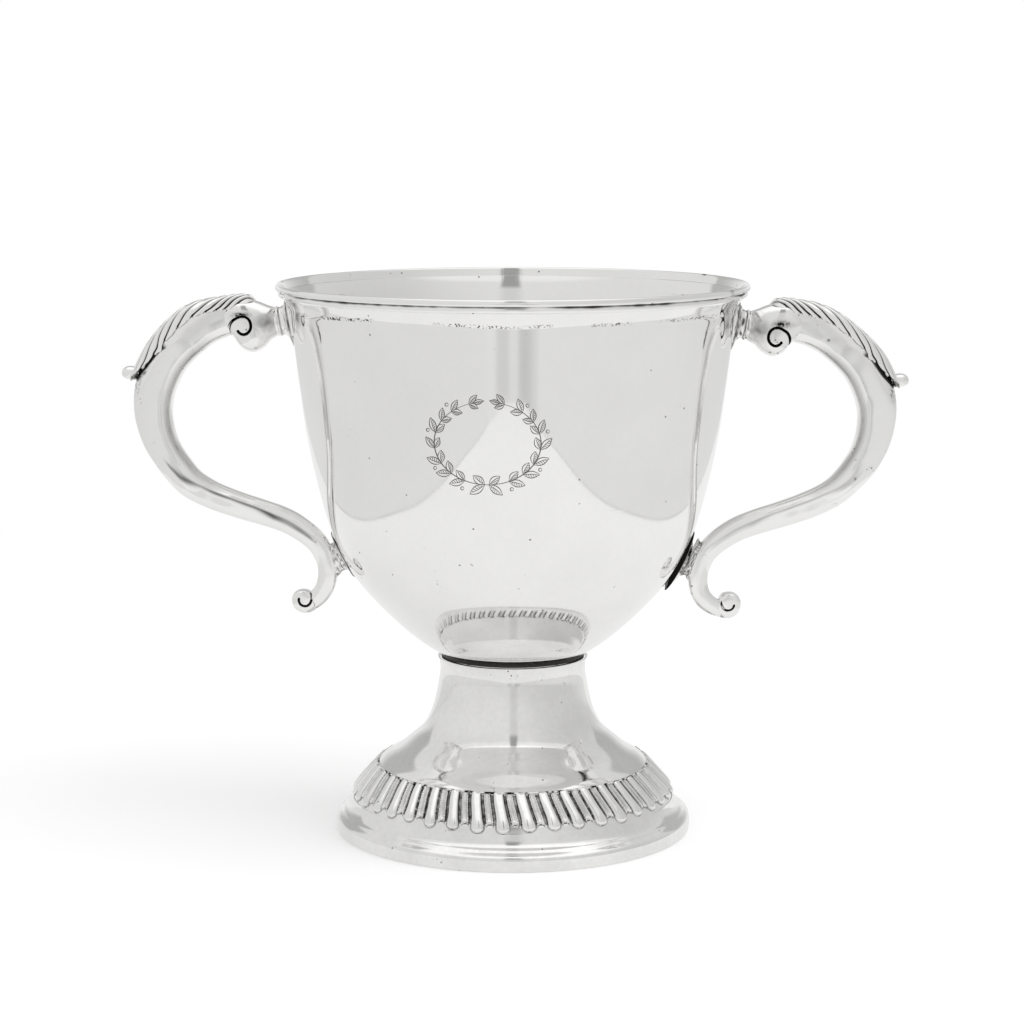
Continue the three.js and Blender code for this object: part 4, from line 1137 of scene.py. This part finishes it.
def lower_scroll(rise):
    def squareness(turn):
        """High for a flat face, and low where the face runs down into the arm's tail."""
        return 5 - 2.4 * hump(away(turn, TAIL_DIRECTION), 0, 35)
    shape = pillow(
        KNOB_CENTRE, KNOB_OUTLINE, KNOB_HALF_WIDTH, squareness, segments=140, rings=100)
    if rise < 0:
        wide, tall, up = 1, 0.95, 0.55
        line = spiral_line(KNOB_EYE + Vector((0.5, 0.9)), KNOB_SPIRAL[1:-1])
        cut = 0.26
    else:
        wide, tall, up = 0.94, 0.85, 0
        line = spiral_line(KNOB_EYE, KNOB_SPIRAL)
        cut = 0.3
    low_x, low_z = KNOB_FOOT
    for corner in shape.verts:
        corner.co.x = low_x + (corner.co.x - low_x) * wide
        corner.co.z = low_z + (corner.co.z - low_z) * tall + up
    carved(shape, line, cut, KNOB_CUT_DEPTH)
    return shifted(shape, KNOB_SHIFT * rise, rise)


both_sides("lower_curl", lower_scroll, handle_silver, "lower_scroll")


# Handles' lower plates and struts. A shallow oval plate is soldered to the bowl, and a short saddle
# joins it to the arm. Solder has run and pitted there. The right plate stands a little proud.
LOWER_PLATE_HEIGHT = 79.7
LOWER_PLATE_RADIUS = 7.4
SPRUNG_PLATE_RADIUS = 9.6
SPRUNG_RISE = 0.6
SPRUNG_TURN = math.radians(-3.0)
SPRUNG_SHIFT = -0.7
STRUT_LINE = [(0.4, 9.8), (1.2, 8.9), (2.2, 8.6), (3.4, 9.2), (4.6, 10.2)]
STRUT_LENGTH = 6.2
STRUT_HALF_WIDTH = 2.2
RIGHT_STRUT = {"rise": 2.4, "proud": 1.9, "wide": 1.26}
LEFT_STRUT = {"rise": 0, "proud": 0, "wide": 1}


def on_wall(shape, height):
    """Turns and moves a shape that stands on the XY plane so that it stands on the bowl's side."""
    out = Vector((1, 0, -bowl_lean(height))).normalized()
    turn = Vector((0, 0, 1)).rotation_difference(out).to_matrix().to_4x4()
    place = Matrix.Translation((bowl_radius(height), 0, height)) @ turn
    bmesh.ops.transform(shape, verts=shape.verts, matrix=place)
    return shape


def lower_plate(rise):
    """The plate. The right one has sprung away from the bowl, and its back is a black lens of
    painted shade that fills the gap behind it.
    """
    sprung = rise < 0
    height = LOWER_PLATE_HEIGHT + rise + (SPRUNG_RISE if sprung else 0)
    radius = SPRUNG_PLATE_RADIUS if sprung else LOWER_PLATE_RADIUS
    wall = bowl_radius(height)
    shape = bmesh.new()
    bmesh.ops.create_uvsphere(shape, u_segments=120, v_segments=64, radius=1)
    black = shape.verts.layers.float.new("tarnish_and_shade")
    for corner in shape.verts:
        up, across, face = corner.co
        rim = math.hypot(up, across)
        mid = 1 - up ** 2
        if not sprung:
            out = 0.1 + face * (0.75 if face > 0 else 0.25)
            shade_and_tarnish = 0.8 * step_up(rim, 0.93, 0.99)
        elif face > 0.02:
            out = 0.95 + 0.95 * mid + 0.9 * min(1, max(0, (1 - rim) / 0.45)) ** 1.6
            shade_and_tarnish = 0
        # The sprung plate's back reaches to the bowl and is black: painted shade in the gap.
        else:
            out = 0.95 + 0.95 * mid - 0.08 if face > -0.02 else 0.95 - 1.1 * mid
            shade_and_tarnish = 1
        up, across = up * radius, across * LOWER_PLATE_RADIUS * 0.9
        solder_and_shade = noise.noise(Vector((across, up, 4)) * 0.6) * hump(math.hypot(across, up), 0, 5)
        corner[black] = max(shade_and_tarnish, min(0.8, (0.5 if sprung else 1.2) * solder_and_shade))
        corner.co = Vector((up, across, out - (across / wall) ** 2 * wall / 2))
    if not sprung:
        return on_wall(shape, height)
    bmesh.ops.rotate(shape, verts=shape.verts, matrix=Matrix.Rotation(SPRUNG_TURN, 3, "Y"))
    return shifted(on_wall(shape, height), SPRUNG_SHIFT, 0)


def strut(rise):
    """The saddle, widest at the plate, with lumps of solder all over."""
    own = RIGHT_STRUT if rise < 0 else LEFT_STRUT
    proud = own["proud"]
    shorter = 1 - proud / STRUT_LENGTH
    line = smooth_line([(proud + a * shorter, b * own["wide"]) for a, b in STRUT_LINE], 0.15)

    def rule(share, across):
        turn = (across + 0.5) * 2 * math.pi
        out, tall = line[round(share * (len(line) - 1))]
        flare = 1 + 0.55 * hump(out, proud, 0.9)
        aside = STRUT_HALF_WIDTH * flare * squared(math.sin(turn), 3)
        return Vector((tall / 2 * squared(math.cos(turn), 3), aside, out)), 0
    shape = closed(skin(stations=36, columns=60, rule=rule))
    black = shape.verts.layers.float["tarnish_and_shade"]
    for corner in shape.verts:
        lump = noise.noise(corner.co * 1.1 + Vector((rise * 5, 0, 0)))
        fine = noise.noise(corner.co * 2.6)
        corner[black] = max(0, min(0.85, 0.35 - rise * 0.16 + 1.2 * fine + 0.7 * lump))
        corner.co += corner.normal * 0.16 * (lump + fine * 0.5)
    return on_wall(shape, LOWER_PLATE_HEIGHT + rise + own["rise"])


both_sides("wall_plate", lower_plate, handle_silver, "lower_plate")
both_sides("saddle", strut, handle_silver, "lower_strut", crease=60)


# Studio. A pale floor and soft light all round: a white sheet lies under the cup, with a light grey
# room beyond it, so that the silver shows a soft edge between the two.
# The sheet narrows towards the camera. Its half-width is given along Y, in metres.
SHEET_HALF_WIDTHS = [
    (-0.6, 0.04), (-0.41, 0.05), (-0.37, 0.085), (-0.3, 0.115), (-0.234, 0.133), (-0.15, 0.168),
    (-0.062, 0.208), (0.025, 0.23), (0.2, 0.26), (0.6, 0.3),
]
SHEET_FRONT = 0.41
SHEET_WHITE = 0.9
FOLD_DARK = -0.85  # how dark the sheet's edge is
ROOM_GREY = 0.775
ROOM_RIGHT = 0.7
# What stands in front of the cup, as a level for each bearing from the cup's front, in radians.
STAND_LEVELS = [
    (-0.25, 0.77), (-0.155, 0.765), (-0.125, 0.675), (-0.06, 0.655), (-0.045, 0.665),
    (-0.015, 0.74), (0.035, 0.735), (0.06, 0.63), (0.09, 0.585), (0.13, 0.6), (0.18, 0.68),
    (0.25, 0.755),
]
FLOOR_HALF = 6
FLOOR_LIFT = 0.2
SHADOW_SHARE = 0.35
WHITE = (1, 1, 1, 1)

floor_material = bpy.data.materials.new("studio_paper")
sheet = Nodes(floor_material)
sheet.tree.nodes.clear()
x, y, _ = sheet.add("SeparateXYZ", _0=sheet.add("TexCoord").outputs["Object"]).outputs
forward = sheet.times(y, -1.0)
past_side = sheet.sums(
    "SUBTRACT", sheet.sums("ABSOLUTE", x), sheet.curve(y, SHEET_HALF_WIDTHS, 0.4))
past_front = sheet.sums("SUBTRACT", forward, SHEET_FRONT)
past = sheet.soft_step(sheet.sums("SMOOTH_MAX", past_side, past_front, 0.03), -0.002, 0.004)
room = sheet.mix(sheet.soft_step(x, -0.1, 1.2), ROOM_GREY, ROOM_RIGHT)
bearing = sheet.sums("ARCTAN2", x, forward)
in_strip = sheet.rest(sheet.soft_step(sheet.sums("ABSOLUTE", bearing), 0.2, 0.24))
beyond = sheet.mix(in_strip, room, sheet.curve(bearing, STAND_LEVELS))
level = sheet.mix(past, SHEET_WHITE, beyond)
level = sheet.sums("MULTIPLY_ADD", sheet.times(past, sheet.rest(past)), FOLD_DARK, level)
level = sheet.grey(level)


def shader(kind, **sockets):
    return sheet.add(kind, **sockets).outputs[0]


ray = sheet.add("LightPath").outputs
paper = shader("BsdfDiffuse", Color=(0.9, 0.9, 0.9, 1))
lifted = shader("AddShader", _0=paper, _1=shader("Emission", Color=WHITE, Strength=FLOOR_LIFT))
distance = sheet.sums("SQRT", sheet.sums("ADD", sheet.times(x, x), sheet.times(y, y)))
blank = shader("Emission", Color=WHITE, Strength=1.0)
shown = shader("MixShader", _0=sheet.soft_step(distance, 0.35, 0.6), _1=lifted, _2=blank)
glow = shader("Emission", Color=level, Strength=1.0)
shadow = shader("BsdfDiffuse", Color=level)
mirrored = shader("MixShader", _0=SHADOW_SHARE, _1=glow, _2=shadow)
unseen = shader("MixShader", _0=ray["Is Glossy Ray"], _1=paper, _2=mirrored)
cover = shader("MixShader", _0=ray["Is Camera Ray"], _1=unseen, _2=shown)
sheet.add("OutputMaterial", Surface=cover)

floor_shape = bmesh.new()
bmesh.ops.create_grid(floor_shape, x_segments=1, y_segments=1, size=FLOOR_HALF)
solid("floor", floor_shape, floor_material)

WALL_DARK = 0.5
CEILING = 1.12
CAMERA_DARK = 0.36
LEGS_DARK = 0.66
STAND_BEARING = 0.02  # in radians to the right of the cup's front

world = bpy.data.worlds.new("studio")
bpy.context.scene.world = world
sky = Nodes(world)
sky.tree.nodes.clear()
x, y, z = sky.add("SeparateXYZ", _0=sky.add("TexCoord").outputs["Generated"]).outputs
room = sky.mix(sky.soft_step(x, -0.1, 1.0), ROOM_GREY, ROOM_RIGHT)
room = sky.mix(sky.soft_step(x, 0.3, 1.3), room, 0.62)  # duller at the far right
wall_top = sky.times(sky.soft_step(y, 0.62, 0.68), sky.soft_step(z, 0.08, 0.3))
room = sky.mix(wall_top, room, WALL_DARK)
sweep = sky.times(sky.soft_step(y, 0.8, 0.97), sky.rest(sky.soft_step(z, 0.02, 0.12)))
room = sky.mix(sweep, room, SHEET_WHITE)  # the sheet's far end, low behind the cup
room = sky.mix(sky.soft_step(z, 0.72, 0.8), room, 0.88)  # paler towards the ceiling
room = sky.mix(sky.soft_step(z, 0.82, 0.9), room, CEILING)
front = sky.sums("ARCTAN2", x, sky.times(y, -1.0))
off_front = sky.sums("ABSOLUTE", sky.sums("SUBTRACT", front, STAND_BEARING))
near_legs = sky.rest(sky.soft_step(off_front, 0.03, 0.16))
legs = sky.times(near_legs, sky.rest(sky.soft_step(z, 0.6, 0.7)))
room = sky.mix(legs, room, LEGS_DARK)
near_lens = sky.rest(sky.soft_step(off_front, 0.075, 0.13))
lens_height = sky.times(sky.soft_step(z, 0.55, 0.68), sky.rest(sky.soft_step(z, 0.86, 0.93)))
room = sky.mix(sky.times(near_lens, lens_height), room, CAMERA_DARK)
level = sky.mix(sky.add("LightPath").outputs["Is Camera Ray"], room, 1.0)
light = sky.add("Background", Color=sky.grey(level), Strength=1.0)
sky.add("OutputWorld", Surface=light.outputs[0])

LAMP_PLACE = Vector((0.88, -0.33, 1.05))
LAMP_AIM = Vector((0, 0, 0.05))
LAMP_SIZE = 1.2
LAMP_WATTS = 6.5
lamp_data = bpy.data.lights.new("window", "AREA")
lamp_data.shape = "SQUARE"
lamp_data.size = LAMP_SIZE
lamp_data.energy = LAMP_WATTS
lamp = placed("window", lamp_data)
lamp.location = LAMP_PLACE
lamp.rotation_euler = (LAMP_AIM - LAMP_PLACE).to_track_quat("-Z", "Y").to_euler()
lamp.visible_glossy = False

CAMERA_BACK = 0.779
CAMERA_HEIGHT = 0.2146
CAMERA_DOWN = math.radians(8.855)
FOCAL_PIXELS = 2711
IMAGE_SIDE = 1024
AXIS_PIXEL = 512.8  # where the cup's axis stands in the picture
SENSOR = 36
camera_data = bpy.data.cameras.new("camera")
camera_data.sensor_width = SENSOR
camera_data.lens = FOCAL_PIXELS / IMAGE_SIDE * SENSOR
camera_data.shift_x = (IMAGE_SIDE / 2 - AXIS_PIXEL) / IMAGE_SIDE
camera_data.clip_start = 0.01
camera = placed("camera", camera_data)
camera.location = (0, -CAMERA_BACK, CAMERA_HEIGHT)
camera.rotation_euler = (math.pi / 2 - CAMERA_DOWN, 0, 0)
bpy.context.scene.camera = camera
bpy.context.scene.view_settings.view_transform = "Standard"
